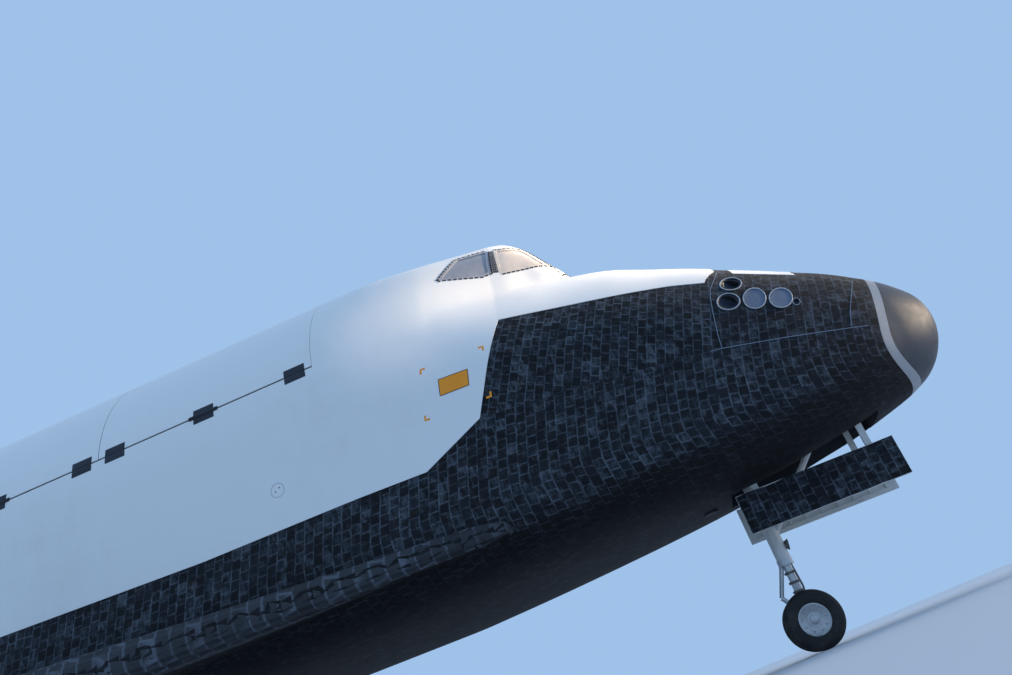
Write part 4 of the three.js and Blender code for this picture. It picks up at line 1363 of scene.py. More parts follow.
@dataclass(frozen=True)
class MetalFinish:
    """Bare or painted metal with a brushed grain, smudges and worn spots.

    Args:
        name: The finish's name.
        colour: The metal's colour.
        dull: Its colour where it is dirty.
        rough: Its roughness.
        metal: How metallic it is.
        grain: Lumps to the metre of the finest grain.
        depth: The grain's depth in metres.
    """

    name: str
    colour: Colour
    dull: Colour
    rough: float = 0.4
    metal: float = 0.8
    grain: float = 60
    depth: float = 0.0006

    def material(self) -> Material:
        """Build the finish."""
        b = Bench(self.name)
        fine = b.noise(self.grain, 4, 0.6)
        smudge = b.noise(self.grain / 18, 4, 0.6)
        brushed = b.noise(self.grain * 1.5, 3, 0.6, b.stretched(0.12, 1, 1))
        dirt = (smudge * 0.7 + fine * 0.3).rise(0.45, 0.72)
        colour = b.mix(self.colour, self.dull, dirt * 0.7)
        rough = self.rough + 0.16 * dirt + 0.1 * brushed
        relief = fine * 0.5 + brushed * 0.4 + smudge
        return b.finish(colour, rough, self.metal, Normal=b.bump(relief, self.depth))


@dataclass(frozen=True)
class RubberFinish:
    """Aircraft tyre rubber, dusty and a little faded."""

    name: str = "tyre_rubber"

    def material(self) -> Material:
        """Build the finish."""
        b = Bench(self.name)
        fine = b.noise(120, 3)
        dust = b.noise(6, 5, 0.65).rise(0.42, 0.75)
        colour = b.mix(srgb(24, 24, 25), srgb(88, 84, 78), dust * 0.5)
        colour = b.mix(colour, srgb(12, 12, 13), fine.rise(0.55, 0.8) * 0.5)
        return b.finish(colour, 0.72 + 0.2 * dust, 0.0, Normal=b.bump(fine + dust, 0.0008))


@dataclass(frozen=True)
class PaneFinish:
    """A blanked window: a satin panel with a faint haze and water marks."""

    name: str
    colour: Colour
    haze: Colour

    def material(self) -> Material:
        """Build the finish."""
        b = Bench(self.name)
        haze = b.noise(3.5, 4, 0.6)
        streak = b.noise(14, 3, 0.6, b.stretched(1, 1, 0.2))
        colour = b.mix(self.colour, self.haze, (haze * 0.6 + streak * 0.4).rise(0.35, 0.7))
        rough = 0.26 + 0.2 * streak
        return b.finish(colour, rough, 0.0, Normal=b.bump(haze, 0.0015), Coat_Weight=0.3)


@dataclass(frozen=True)
class TwoFacedFinish:
    """White tiles on top and black tiles underneath, laid in rows by the place alone.

    Args:
        name: The finish's name.
        pitch: The tiles' pitch in metres.
        turn: Where the black underside begins, as the least upward part of the normal.
        ahead: Where the all black front begins, in metres ahead of the middle.
        axes: The two axes that the tiles are laid along.
    """

    name: str
    pitch: float = 0.2
    turn: float = -0.25
    ahead: float = 99.0
    axes: str = "XY"

    def material(self) -> Material:
        """Build the finish."""
        b = Bench(self.name)
        ahead = b.part(self.axes[0]) / self.pitch
        side = b.part(self.axes[1]) / self.pitch
        column = ahead.math("FLOOR")
        shifted = side + (column * 0.5).fraction()
        row = shifted.math("FLOOR")
        x = ahead.fraction()
        y = shifted.fraction()
        rim = x.least(1 - x).least(y.least(1 - y))
        cell = b.node("CombineXYZ", {}, {"X": column, "Y": row, "Z": 0.5})
        tone = b.node("TexWhiteNoise", {}, {"Vector": cell}, "Value")
        fine = b.noise(50, 4, 0.65)
        patch = b.noise(7, 3)
        gap = rim.rise(0.03, 0.012)
        facing = b.part("Z", b.node("NewGeometry", {}, {}, "Normal"))
        below = facing.rise(self.turn + 0.06, self.turn - 0.06).most(b.part("X").over(self.ahead))
        black = b.mix(srgb(17, 19, 24), srgb(50, 54, 62), tone * 0.6 + patch * 0.3)
        black = b.mix(black, srgb(100, 108, 120), (rim + (fine - 0.5) * 0.2).rise(0.14, 0.02) * tone * 0.8)
        white = b.mix(srgb(226, 226, 224), srgb(205, 204, 200), tone * 0.5 + patch * 0.4)
        white = b.mix(white, srgb(120, 120, 118), gap * 0.6)
        colour = b.mix(white, black, below)
        rough = 0.5 + 0.3 * below * fine
        return b.finish(colour, rough, 0.0, Normal=b.bump(gap * -1.0 + fine * 0.15, 0.003))


def metal(name: str, colour: Colour, dull: Colour, *more: float) -> Material:
    """A metal or painted finish from colours on the display scale."""
    return MetalFinish(name, srgb(*colour), srgb(*dull), *more).material()


def pane(name: str, colour: Colour, haze: Colour) -> Material:
    """A pane's finish from colours on the display scale."""
    return PaneFinish(name, srgb(*colour), srgb(*haze)).material()


class Finishes:
    """All finishes of the craft, made once."""

    def __init__(self) -> None:
        """Build every material."""
        self.tile = TileFinish().material()
        # A darker copy of the tile finish for the gloves: painted shade, standing for the shade under the
        # wings.
        self.shaded_tile = TileFinish(
            "shaded_tile", srgb(6, 8, 12), srgb(18, 21, 27), srgb(52, 57, 66), srgb(30, 25, 23)
        ).material()
        self.skin = SkinFinish().material()
        self.cap = metal("nose_cap_silver", (84, 86, 92), (68, 71, 78), 0.42, 0.7, 9, 0.0006)
        self.band = metal("satin_band", (164, 166, 170), (140, 144, 150), 0.42, 0.3, 30, 0.0004)
        # Painted light: the two pane finishes are lit and shaded copies of one paint, the side one darker and
        # bluer for shade and sky reflection, the front one warm and light for sunlight.
        self.side_pane = pane("side_pane", (132, 136, 146), (148, 150, 156))
        self.front_pane = pane("front_pane", (206, 196, 186), (190, 184, 178))
        # Painted shade: the solids under the skins are dark grey, so that the gaps between skins look shaded.
        self.gap_shade_grey = metal("gap_grey", (40, 43, 48), (26, 28, 32), 0.7, 0.0)
        self.liner = metal("bay_liner", (196, 198, 190), (170, 172, 162), 0.6, 0.0, 24, 0.002)
        self.steel = metal("gear_steel", (196, 198, 200), (140, 142, 146), 0.35, 0.6)
        self.white_gear = metal("gear_white", (214, 214, 210), (170, 168, 162), 0.42, 0.0)
        self.wheel = metal("wheel_aluminium", (186, 188, 190), (120, 122, 126), 0.38, 0.7)
        self.rubber = RubberFinish().material()
        self.bell = metal("engine_bell", (132, 128, 124), (84, 80, 78), 0.36, 0.85, 40, 0.001)
        self.dark_metal = metal("dark_metal", (58, 58, 60), (34, 34, 36), 0.5, 0.6)
        self.edge = metal("edge_grey", (112, 114, 116), (84, 86, 90), 0.5, 0.1)
        self.steel_dark = metal("dark_steel", (120, 118, 116), (78, 74, 72), 0.4, 0.8)
        self.radiator = metal("radiator_silver", (206, 210, 214), (186, 190, 196), 0.22, 0.6, 8, 0.0006)
        self.edge_joint = metal("edge_joint", (86, 88, 92), (64, 66, 70), 0.5, 0.1)
        self.cover = metal("cover_navy", (28, 36, 48), (16, 22, 32), 0.55, 0.0)
        self.seam = metal("seam_grey", (120, 132, 150), (88, 98, 114), 0.6, 0.0)
        self.sign = metal("sign_orange", (255, 158, 22), (248, 146, 18), 0.45, 0.0)
        self.rim = metal("jet_rim", (150, 160, 172), (116, 124, 136), 0.5, 0.1)
        self.disc = metal("jet_cover", (92, 108, 130), (66, 80, 100), 0.6, 0.0, 14, 0.002)
        self.cup = metal("jet_cup", (54, 66, 84), (24, 30, 40), 0.5, 0.2, 20)
        self.rust = metal("rust_spot", (128, 88, 62), (96, 66, 48), 0.8, 0.0)
        self.seam_white = metal("faint_ring", (182, 184, 186), (168, 170, 172), 0.6, 0.0)
        # The rims are lit and shaded copies of one paint in the same way: painted shade on the side rim,
        # painted sunlight on the front rim.
        self.side_rim = pane("side_rim", (146, 150, 160), (158, 160, 166))
        self.front_rim = pane("front_rim", (214, 204, 194), (200, 192, 184))
        self.brick = metal("border_brick", (52, 44, 42), (34, 32, 36), 0.7, 0.0)
        self.wing = TwoFacedFinish("wing_tiles", ahead=3.84).material()
        self.flap = TwoFacedFinish("flap_tiles", 0.2, 2.0).material()
        self.shield = TwoFacedFinish("base_tiles", 0.2, 2.0, axes="YZ").material()
        self.door_tiles = TwoFacedFinish("door_tiles", 0.15, 2.0, axes="XZ").material()
        self.fin = TwoFacedFinish("fin_tiles", 0.2, -3.0, axes="XZ").material()


# Sub-assemblies of the fuselage


def dress(piece: Piece, material: Material, slot: str, body: str = "airframe") -> Piece:
    """Give a piece its finish and its body.

    Args:
        piece: The piece.
        material: Its finish.
        slot: The record's slot that it stands for; not used.
        body: The body that it rides on.

    Returns:
        The piece.
    """
    piece.data.materials.clear()
    piece.data.materials.append(material)
    for name in ("row", "column"):
        layer = piece.data.attributes.get(name)
        if layer:
            piece.data.attributes.remove(layer)
    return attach(piece, body)


def mirrored(piece: Piece, body: str = "airframe") -> list[Piece]:
    """Give a dressed starboard piece its twin on the port side.

    Args:
        piece: The piece.
        body: The body that the twin rides on.

    Returns:
        Both.
    """
    return [piece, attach(twin(piece, piece.name.replace("starboard", "port")), body)]


def on_side(piece: Piece, side: Side) -> Piece:
    """Keep a cutter for the starboard side, or turn it into one for the port side."""
    if side is Side.STARBOARD:
        return piece
    other = twin(piece, "port_" + piece.name)
    bpy.data.objects.remove(piece)
    return other


@dataclass
class NoseCap:
    """The silver cap on the nose and the light band behind it.

    Args:
        rings: How many rings of points the cap has.
        steps: How many points each has from keel to crown.
        lift: How far the cap stands off the surface.
        band_lift: The same for the band.
    """

    rings: int = 30
    steps: int = 49
    lift: float = 3
    band_lift: float = 4

    def _cone(self, name: str, bases: np.ndarray, lift: float) -> Piece:
        """A closed ring or dome between leaning cuts."""
        rows = []
        angle = np.linspace(0, math.pi, self.steps)
        for base in bases:
            lean = CAP_LEAN * min(1.0, base / 300)
            curl = float(np.interp(base, (0, CAP_EDGE, BAND_EDGE), (0, CAP_CURL, BAND_CURL)))
            station = FORM.leaning(base, lean, angle, curl=curl)
            place = FORM.place(station, angle, lift)
            place[0, 1] = place[-1, 1] = 0
            port = place[-2:0:-1] * (1, -1, 1)
            rows.append(np.concatenate([place, port, place[:1]]))
        return turn_to(sheet(name, np.array(rows)), from_axis)

    def build(self, finishes: Finishes) -> list[Piece]:
        """Build and dress both."""
        shares = np.linspace(0, 1, self.rings)
        cap = self._cone("nose_cap_shell", 0.5 + (CAP_EDGE - 2.5) * shares**1.8, self.lift)
        band = self._cone("nose_band_shell", np.linspace(CAP_EDGE + 2.5, BAND_EDGE + 2, 9), self.band_lift)
        for piece in (cap, band):
            with editing(piece, whole=True):
                bpy.ops.mesh.remove_doubles(threshold=2e-4)
            modify(piece, "SOLIDIFY", thickness=0.012, offset=-1)
            smooth(piece, 40)
        dress(cap, finishes.cap, "nose_cap_silver")
        dress(band, finishes.band, "nose_band")
        return [cap, band]


# Lines on the side, going aft. White paint ends along the first; the tiles change their run along the others.
PAINT_EDGE = Line((
    (2745, 3700), (2757, 3323), (2803, 3267), (2871, 3213), (2963, 3119), (3021, 3030), (3539, 3145),
    (4136, 3220), (5019, 3336), (5999, 3479), (6674, 2051), (7022, 1876), (7582, 1598), (9270, 1610),
    (10967, 1620), (12594, 1687), (14282, 1758), (18000, 1800), (27203, 1800), (33400, 1800),
))
PANEL_TOP = Line((*PAINT_EDGE.corners[:10], (7000, 3580)))
ZONE_LINE = Line(((900, 1540), (1204, 1580), (3262, 1860), (5557, 1997), (6674, 2051), (33400, 2051)))
TUCK = 60
UNDER_TOP = Line((*ZONE_LINE.corners[:5], *[(s, height + TUCK) for s, height in PAINT_EDGE.corners[11:]]))
PANEL_ROWS = Line(((2000, 88), (7000, 2188)))
KEEL = Line(((0, NOWHERE), (40000, NOWHERE)))
CROWN = Line(((0, -NOWHERE), (40000, -NOWHERE)))


@dataclass(frozen=True)
class Run:
    """The way that the columns of tiles run between two stations.

    Args:
        start: The first line between columns, by its station at the height of the nose tip.
        end: The last one.
        columns: How many columns there are.
        lean: How far the first and the last line move aft for each step down.
        bend: The height under which each of the two goes straight down.
        curl: How far each moves forward again for each step down under the chine.
        top: The height over which each goes straight up.
    """

    start: float
    end: float
    columns: int
    lean: tuple[float, float]
    bend: tuple[float, float] = (NOWHERE, NOWHERE)
    curl: tuple[float, float] = (0.0, 0.0)
    top: tuple[float, float] = (LEAN_TOP, LEAN_TOP)

    def rings(self, lift: float) -> list[Ring]:
        """The lines between the columns."""
        made = []
        for share in np.linspace(0, 1, self.columns + 1):
            pairs = ((self.start, self.end), self.lean, self.bend, self.curl, self.top)
            base, lean, bend, curl, top = (a + (b - a) * share for a, b in pairs)
            made.append(FORM.ring(base, lean, lift, bend, curl, top))
        return made


@dataclass(frozen=True)
class Tracks:
    """The lines between columns of tiles, given one by one."""

    lines: tuple[Ring, ...]

    def rings(self, lift: float) -> list[Ring]:
        """The lines, which are already lifted."""
        return list(self.lines)


@dataclass(frozen=True)
class Cut:
    """A straight-sided part that is taken out of a sheet, seen from above.

    Args:
        corners: Its corners as station and distance to starboard, in order round it.
    """

    corners: tuple[tuple[float, float], ...]

    def _inside(self, piece: Piece, grow: float) -> np.ndarray:
        """Which faces lie inside, or less than some millimetres outside."""
        inside = np.ones(len(piece.data.polygons), bool)
        centres = face_array(piece, "center")
        for at, way in self._walls():
            inside &= (centres - np.array(at)) @ np.array(way) < grow * MM
        return inside

    def _walls(self) -> list[tuple[Vector, Vector]]:
        """A point and the outward direction of each wall."""
        flat = np.array(self.corners, float)
        middle = flat.mean(0)
        walls = []
        for i, corner in enumerate(flat):
            run = flat[(i + 1) % len(flat)] - corner
            out = np.array([run[1], -run[0]])
            if out @ (corner - middle) < 0:
                out = -out
            walls.append((STANCE.point(corner[0], -corner[1], 0), STANCE.way(out[0], -out[1], 0)))
        return walls

    def apply(self, piece: Piece) -> None:
        """Cut the faces along the walls and drop those inside."""
        for at, way in self._walls():
            mark(piece, "FACE", self._inside(piece, 400))
            with editing(piece):
                bpy.ops.mesh.bisect(plane_co=at, plane_no=way)
        mark(piece, "FACE", self._inside(piece, 0))
        with editing(piece):
            bpy.ops.mesh.delete(type="FACE")


@dataclass
class TileBlanket:
    """Black tiles over a stretch of the fuselage, laid in columns round the girth.

    Args:
        name: The piece's name.
        run: The way that its columns run.
        low: The line under which it ends.
        high: The line over which it ends.
        rows: The line that its rows follow.
        seed: Starts the random choice of tones and shifts.
        downward: Whether the rows are counted down from their line.
        pitch: How far the rows are apart.
        lift: How far the bottom of the grooves stands off the surface.
        thick: The tiles' thickness.
        groove: Half the width of a groove.
        raised: How far the tiles' faces are over the grooves.
        cuts: What is cut from it.
        outward: Gives the outward directions at some points.
        body: The body that it rides on.
        shaded: Whether it gets the darker copy of the tile finish, into whose colours shade is painted.
    """

    name: str
    run: "Run | Tracks"
    low: Line
    high: Line
    rows: Line
    seed: int = 1
    downward: bool = False
    pitch: float = 140
    lift: float = 1.5
    thick: float = 9.0
    groove: float = 2.4
    raised: float = 1.8
    cuts: tuple["Cut", ...] = ()
    outward: Callable[[np.ndarray], np.ndarray] = from_axis
    body: str = "airframe"
    shaded: bool = False

    def _places(self, random: np.random.Generator) -> tuple[np.ndarray, np.ndarray]:
        """The places of all tile corners, and their girths.

        Args:
            random: The source of the shifts.

        Returns:
            The places, and the distance from the keel at each.
        """
        rings = self.run.rings(self.lift)
        lines = (self.low, self.high, self.rows)
        low, high, origin = np.array([[ring.crossing(line) for line in lines] for ring in rings]).T
        reach = (origin - low).max() if self.downward else (high - origin).max()
        count = 2 * int(math.ceil(reach / self.pitch + 1.5))
        columns = len(rings)
        shift = random.uniform(-0.2, 0.2, (columns + 1, 1))
        shift = shift + random.uniform(-0.07, 0.07, (columns + 1, count + 1))
        places = np.empty((columns, count + 1, 3))
        girths = np.empty((columns, count + 1))
        index = np.arange(count + 1)
        for k, ring in enumerate(rings):
            owner = np.where((index + k) % 2 == 0, k + 1, k)
            steps = (index / 2 - 1 + shift[owner, index]) * self.pitch
            girth = origin[k] + (-steps[::-1] if self.downward else steps)
            girth = np.maximum.accumulate(np.clip(girth, low[k], high[k]))
            if self.downward:
                girth[0] = low[k]
            places[k] = ring.at(girth)
            girths[k] = girth
        return places, girths

    def _merge_bricks(self, piece: Piece) -> None:
        """Join each pair of cells into one tile, staggered from column to column."""
        mesh = piece.data
        row = np.array([each.value for each in mesh.attributes["row"].data])
        column = np.array([each.value for each in mesh.attributes["column"].data])
        ends = np.empty(len(mesh.edges) * 2, int)
        mesh.edges.foreach_get("vertices", ends)
        first, last = ends.reshape(-1, 2).T
        along = (column[first] == column[last]) & (row[first] != row[last])
        lower = np.minimum(row[first], row[last])
        inner = (column[first] > 0) & (column[first] < column.max())
        mark(piece, "EDGE", along & inner & ((lower + column[first]) % 2 == 1))
        with editing(piece, "EDGE"):
            bpy.ops.mesh.dissolve_edges(use_verts=False, use_face_split=False)

    def _number(self, piece: Piece, girths: np.ndarray) -> None:
        """Write each tile's number and its own coordinates."""
        mesh = piece.data
        rows = np.array([each.value for each in mesh.attributes["row"].data])
        columns = np.array([each.value for each in mesh.attributes["column"].data])
        girth = girths[rows.astype(int), columns.astype(int)]
        loops = np.empty(len(mesh.loops), int)
        mesh.loops.foreach_get("vertex_index", loops)
        starts = np.empty(len(mesh.polygons), int)
        mesh.polygons.foreach_get("loop_start", starts)
        totals = np.empty(len(mesh.polygons), int)
        mesh.polygons.foreach_get("loop_total", totals)
        layer = mesh.uv_layers.new(name="tile")
        fore = np.repeat(np.minimum.reduceat(rows[loops], starts), totals)
        aft = rows[loops] - fore
        side = np.repeat(np.arange(len(starts)) * 2, totals) + (aft > 0)
        low = np.full(len(starts) * 2, np.inf)
        high = np.full(len(starts) * 2, -np.inf)
        np.minimum.at(low, side, girth[loops])
        np.maximum.at(high, side, girth[loops])
        up = (girth[loops] - low[side]) / np.maximum(high - low, 1e-6)[side]
        layer.data.foreach_set("uv", np.stack([aft, up], -1).astype(np.float32).ravel())
        number = mesh.attributes.new("number", "INT", "FACE")
        number.data.foreach_set("value", np.arange(len(mesh.polygons), dtype=np.int32))

    def build(self, finishes: Finishes) -> Piece:
        """Build and dress the starboard half."""
        random = np.random.default_rng(self.seed)
        places, girths = self._places(random)
        piece = turn_to(sheet(self.name, places), self.outward)
        self._merge_bricks(piece)
        self._number(piece, girths)
        for cut in self.cuts:
            cut.apply(piece)
        with editing(piece, "VERT", whole=True):
            bpy.ops.mesh.remove_doubles(threshold=0.012)
        outer = len(piece.data.polygons)
        modify(piece, "SOLIDIFY", thickness=self.thick * MM, offset=-1)
        mark(piece, "FACE", np.arange(len(piece.data.polygons)) < outer)
        with editing(piece):
            bpy.ops.mesh.inset(
                thickness=self.groove * MM,
                depth=self.raised * MM,
                use_individual=True,
                use_boundary=True,
                use_even_offset=not self.cuts,
                use_interpolate=True,
            )
        return self.finish(piece, finishes, self.seed)

    def finish(self, piece: Piece, finishes: Finishes, seed: int) -> Piece:
        """Give every tile its tone and the whole its finish."""
        mesh = piece.data
        number = np.empty(len(mesh.polygons), np.int32)
        mesh.attributes["number"].data.foreach_get("value", number)
        tones = np.random.default_rng(seed + 1000).random(number.max() + 1)
        layer = mesh.attributes.get("tone") or mesh.attributes.new("tone", "FLOAT", "FACE")
        layer.data.foreach_set("value", tones[number].astype(np.float32))
        return dress(piece, finishes.shaded_tile if self.shaded else finishes.tile, "black_tile", self.body)

    def both(self, finishes: Finishes) -> list[Piece]:
        """Build the starboard half and its twin."""
        starboard = self.build(finishes)
        port = twin(starboard, self.name.replace("starboard", "port"))
        self.finish(port, finishes, self.seed + 7)
        return [starboard, port]


@dataclass
class WhiteSkin:
    """A smooth white shell over a stretch of the upper fuselage.

    Args:
        name: The piece's name.
        stations: The stations of its lines.
        low: The height of its lower edge at a station.
        high: The height of its upper edge, or None where it goes up to the crown.
        rows: How many rows of faces it has.
        lift: How far its face stands off the surface.
        thick: Its thickness.
        body: The body that it rides on.
        crown_gap: How far it ends short of the crown.
    """

    name: str
    stations: np.ndarray
    low: Callable[[float], float]
    high: Callable[[float], float] | None
    rows: int = 40
    lift: float = 12
    thick: float = 16
    body: str = "airframe"
    crown_gap: float = 0.0

    def shell(self) -> Piece:
        """Build the starboard shell."""
        lines = []
        for station in self.stations:
            ring = FORM.ring(station, 0.0, self.lift)
            first = ring.girth_at_height(self.low(station))
            last = ring.girth_at_height(self.high(station)) if self.high else ring.girth[-1] - self.crown_gap
            lines.append(ring.at(np.linspace(first, last, self.rows + 1)))
        piece = turn_to(sheet(self.name, np.array(lines)), from_axis)
        modify(piece, "SOLIDIFY", thickness=self.thick * MM, offset=-1)
        return smooth(piece, 30)

    def both(self, finishes: Finishes) -> list[Piece]:
        """Build and dress the starboard shell and its twin."""
        starboard = self.shell()
        port = twin(starboard, self.name.replace("starboard", "port"))
        dress(starboard, finishes.skin, "white_tile", self.body)
        dress(port, finishes.skin, "white_tile", self.body.replace("starboard", "port"))
        return [starboard, port]


NOSE_WELL = Cut(((1500, -600), (3900, -600), (3900, 520), (1500, 520)))
MAIN_WELL = Cut(((20300, 2800), (24300, 2800), (24300, 4250), (20300, 4250)))


def stations_between(start: float, end: float, step: float, corners: Sequence[float] = ()) -> np.ndarray:
    """Evenly spread stations that also take in some corners.

    Args:
        start: The first.
        end: The last.
        step: The longest way between two.
        corners: Those that have to be met.

    Returns:
        The stations, rising.
    """
    count = max(1, math.ceil((end - start) / step))
    even = np.linspace(start, end, count + 1)
    kept = [s for s in corners if start < s < end]
    far = [s for s in even if all(abs(s - k) > step * 0.3 for k in kept)]
    return np.array(sorted({*far, *kept, start, end}))


@dataclass
class Fuselage:
    """The skins of the fuselage: tiles below and white shells above.

    Args:
        joint: Half the gap between two segments of the doors.
    """

    joint: float = 7

    def build(self, finishes: Finishes) -> list[Piece]:
        """Build all skins."""
        corners = [row[0] for row in PAINT_EDGE.corners]
        made = []
        nose = Run(BAND_EDGE + 3, 3303, 17, (CAP_LEAN, 0.375))
        panel = Run(3305, 6846, 26, (0.375, 0.4727), top=(LEAN_TOP, 3900))
        chin = Run(BAND_EDGE + 3, 3303, 17, (CAP_LEAN, 0.3), (300, 950), (BAND_CURL, 0.2))
        front = Run(3303, BAY_START, 39, (0.3, 0.27), (950, 950), (0.2, 0.0))
        middle = Run(BAY_START, MID_END, 131, (0.27, 0.27), (950, 950))
        rear = Run(MID_END, 32427, 37, (0.27, 0.108), (950, -500))
        under = (KEEL, UNDER_TOP, ZONE_LINE)
        blankets = [
            TileBlanket("nose_tiles_starboard", nose, ZONE_LINE, CROWN, ZONE_LINE, 3),
            TileBlanket("panel_tiles_starboard", panel, ZONE_LINE, PANEL_TOP.raised(TUCK), PANEL_ROWS, 5),
            TileBlanket("chin_tiles_starboard", chin, *under, 6, True, cuts=(NOSE_WELL,)),
            TileBlanket("forward_tiles_starboard", front, *under, 7, True, cuts=(NOSE_WELL,)),
            TileBlanket("mid_tiles_starboard", middle, *under, 9, True),
            TileBlanket("aft_tiles_starboard", rear, *under, 12, True),
        ]
        for blanket in blankets:
            made += blanket.both(finishes)
        stations = stations_between(2747, BAY_START - 0.2, 60, corners)
        made += WhiteSkin("forward_skin_starboard", stations, self._edge, None, 72).both(finishes)
        stations = stations_between(BAY_START + 0.2, MID_END - 4, 400, corners)
        made += WhiteSkin("mid_skin_starboard", stations, self._edge, self._below_hinge, 12).both(finishes)
        stations = stations_between(BAY_END + 2, MID_END - 4, 60)
        made += WhiteSkin("bay_rim_skin_starboard", stations, self._above_hinge, None, 48).both(finishes)
        stations = stations_between(MID_END + 4, 31900, 200, corners)
        made += WhiteSkin("aft_skin_starboard", stations, self._edge, None, 48).both(finishes)
        for n in range(DOOR_SEGMENTS):
            start = BAY_START + DOOR_SEGMENT * n + self.joint
            end = min(BAY_START + DOOR_SEGMENT * (n + 1) - self.joint, BAY_END - 2 * self.joint)
            door = WhiteSkin(
                f"door_skin_{n + 1}_starboard",
                stations_between(start, end, 300),
                self._door_edge,
                None,
                body="bay_door_starboard",
                crown_gap=8,
            )
            made += door.both(finishes)
        return made

    @staticmethod
    def _below_hinge(station: float) -> float:
        """The upper edge of the skin under the doors."""
        return HINGE_HEIGHT - 14.0

    @staticmethod
    def _above_hinge(station: float) -> float:
        """The lower edge of the skin behind the doors."""
        return HINGE_HEIGHT + 6.0

    @staticmethod
    def _door_edge(station: float) -> float:
        """The lower edge of the doors' skins."""
        return HINGE_HEIGHT + 16.0

    @staticmethod
    def _edge(station: float) -> float:
        """The lower edge of the white shells."""
        return float(PAINT_EDGE.at(station))


def side_patch(
    name: str,
    corners: Sequence[tuple[float, float]],
    lift: float,
    thick: float,
    cells: int = 8,
) -> Piece:
    """A thin plate that follows the starboard side.

    Args:
        name: The piece's name.
        corners: Four corners as station and height, in order round the plate.
        lift: How far its face stands off the surface.
        thick: Its thickness.
        cells: How many faces it has each way.

    Returns:
        The plate, with softened edges.
    """
    share = np.linspace(0, 1, cells + 1)
    u, v = np.meshgrid(share, share, indexing="ij")
    a, b, c, d = np.array(corners, float)
    weights = ((1 - u) * (1 - v), u * (1 - v), u * v, (1 - u) * v)
    flat = sum(corner * weight[..., None] for corner, weight in zip((a, b, c, d), weights))
    piece = turn_to(sheet(name, FORM.on_side(flat[..., 0], flat[..., 1], lift)), from_axis)
    modify(piece, "SOLIDIFY", thickness=thick * MM, offset=-1)
    modify(piece, "BEVEL", width=thick * MM * 0.25, segments=2, limit_method="ANGLE", angle_limit=1.0)
    return smooth(piece, 40)


def side_line(
    name: str,
    path: Sequence[tuple[float, float]],
    width: float,
    lift: float,
    thick: float,
) -> Piece:
    """A narrow strip along a line on the starboard side.

    Args:
        name: The piece's name.
        path: The line's corners as station and height.
        width: The strip's width.
        lift: How far its face stands off the surface.
        thick: Its thickness.

    Returns:
        The strip.
    """
    corners = np.array(path, float)
    lengths = lengths_along(corners)
    count = max(2, int(lengths[-1] / 60))
    marks = np.unique(np.concatenate([np.linspace(0, lengths[-1], count), lengths]))
    line = np.stack([np.interp(marks, lengths, corners[:, i]) for i in range(2)], -1)
    places = FORM.on_side(line[:, 0], line[:, 1], lift)
    angle = FORM.angle_at_height(line[:, 0], line[:, 1])
    normal = FORM.normal(line[:, 0], angle)
    along = np.gradient(places, axis=0)
    across = np.cross(normal, along)
    across /= np.linalg.norm(across, axis=1, keepdims=True)
    rows = np.stack([places + across * width * k for k in (-0.5, 0, 0.5)], 1)
    piece = turn_to(sheet(name, rows), from_axis)
    return modify(piece, "SOLIDIFY", thickness=thick * MM, offset=-1)


class JetKind(Enum):
    """What fills the mouth of a small thruster."""

    CUP = "cup"
    COVER = "cover"


@dataclass(frozen=True)
class Jet:
    """A small thruster in the nose, whose mouth is flush with the skin.

    Args:
        station: The station of its mouth.
        height: The mouth's height.
        radius: The inner radius of its rim.
        kind: What fills it.
        way: The direction in which it blows, as aft, starboard and up.
    """

    station: float
    height: float
    radius: float
    kind: JetKind
    way: tuple[float, float, float]

    def frame(self) -> Matrix:
        """The move from an upright piece to the mouth, slanted so that its rim lies in the skin."""
        angle = FORM.angle_at_height(self.station, self.height)
        at = Vector(STANCE.points(FORM.place(self.station, angle)))
        normal = STANCE.way(*FORM.normal(self.station, angle))
        aft, starboard, up = self.way
        along = STANCE.way(aft, -starboard, up)
        across = Vector((0, 0, 1)).cross(along).normalized()
        upward = along.cross(across)
        facing = along.dot(normal)
        slanted = [side - along * (side.dot(normal) / facing) for side in (across, upward)]
        return Matrix.Translation(at) @ Matrix((*slanted, along)).transposed().to_4x4()

    def pieces(self, name: str, finishes: Finishes) -> list[Piece]:
        """Build the rim and what fills it on the starboard side."""
        r = self.radius
        wall = max(9, r * 0.13)
        rim_outline = [
            (r, -40), (r, 10), (r + wall * 0.3, 15), (r + wall * 0.7, 15), (r + wall, 10), (r + wall, -40),
        ]
        if self.kind is JetKind.COVER:
            filling = finishes.disc
            outline = [
                (0, 2), (r * 0.5, 1), (r * 0.8, -2), (r * 0.86, 2), (r * 0.97, 0), (r * 0.97, -30), (0, -30),
            ]
        else:
            filling = finishes.cup
            deep = r * 1.1
            outline = [
                (r * 0.99, 2), (r * 0.86, -deep * 0.3), (r * 0.62, -deep * 0.7), (r * 0.3, -deep), (0, -deep),
                (0, -deep - 8), (r * 0.34, -deep - 8), (r * 0.7, -deep * 0.7 - 8), (r * 0.99, -deep * 0.3),
            ]
        frame = self.frame()
        made = []
        for part, profile, finish in (("rim", rim_outline, finishes.rim), ("fill", outline, filling)):
            piece = turned(f"{name}_{part}", profile)
            piece.data.transform(frame)
            made.append(dress(smooth(piece, 50), finish, "edge_grey"))
        return made

    def hole(self) -> Piece:
        """A cutter for the tiles round the mouth."""
        cutter = bar("hole", Vector((0, 0, -0.2)), Vector((0, 0, 0.2)), self.radius + 10, sides=40)
        cutter.data.transform(self.frame())
        return cutter


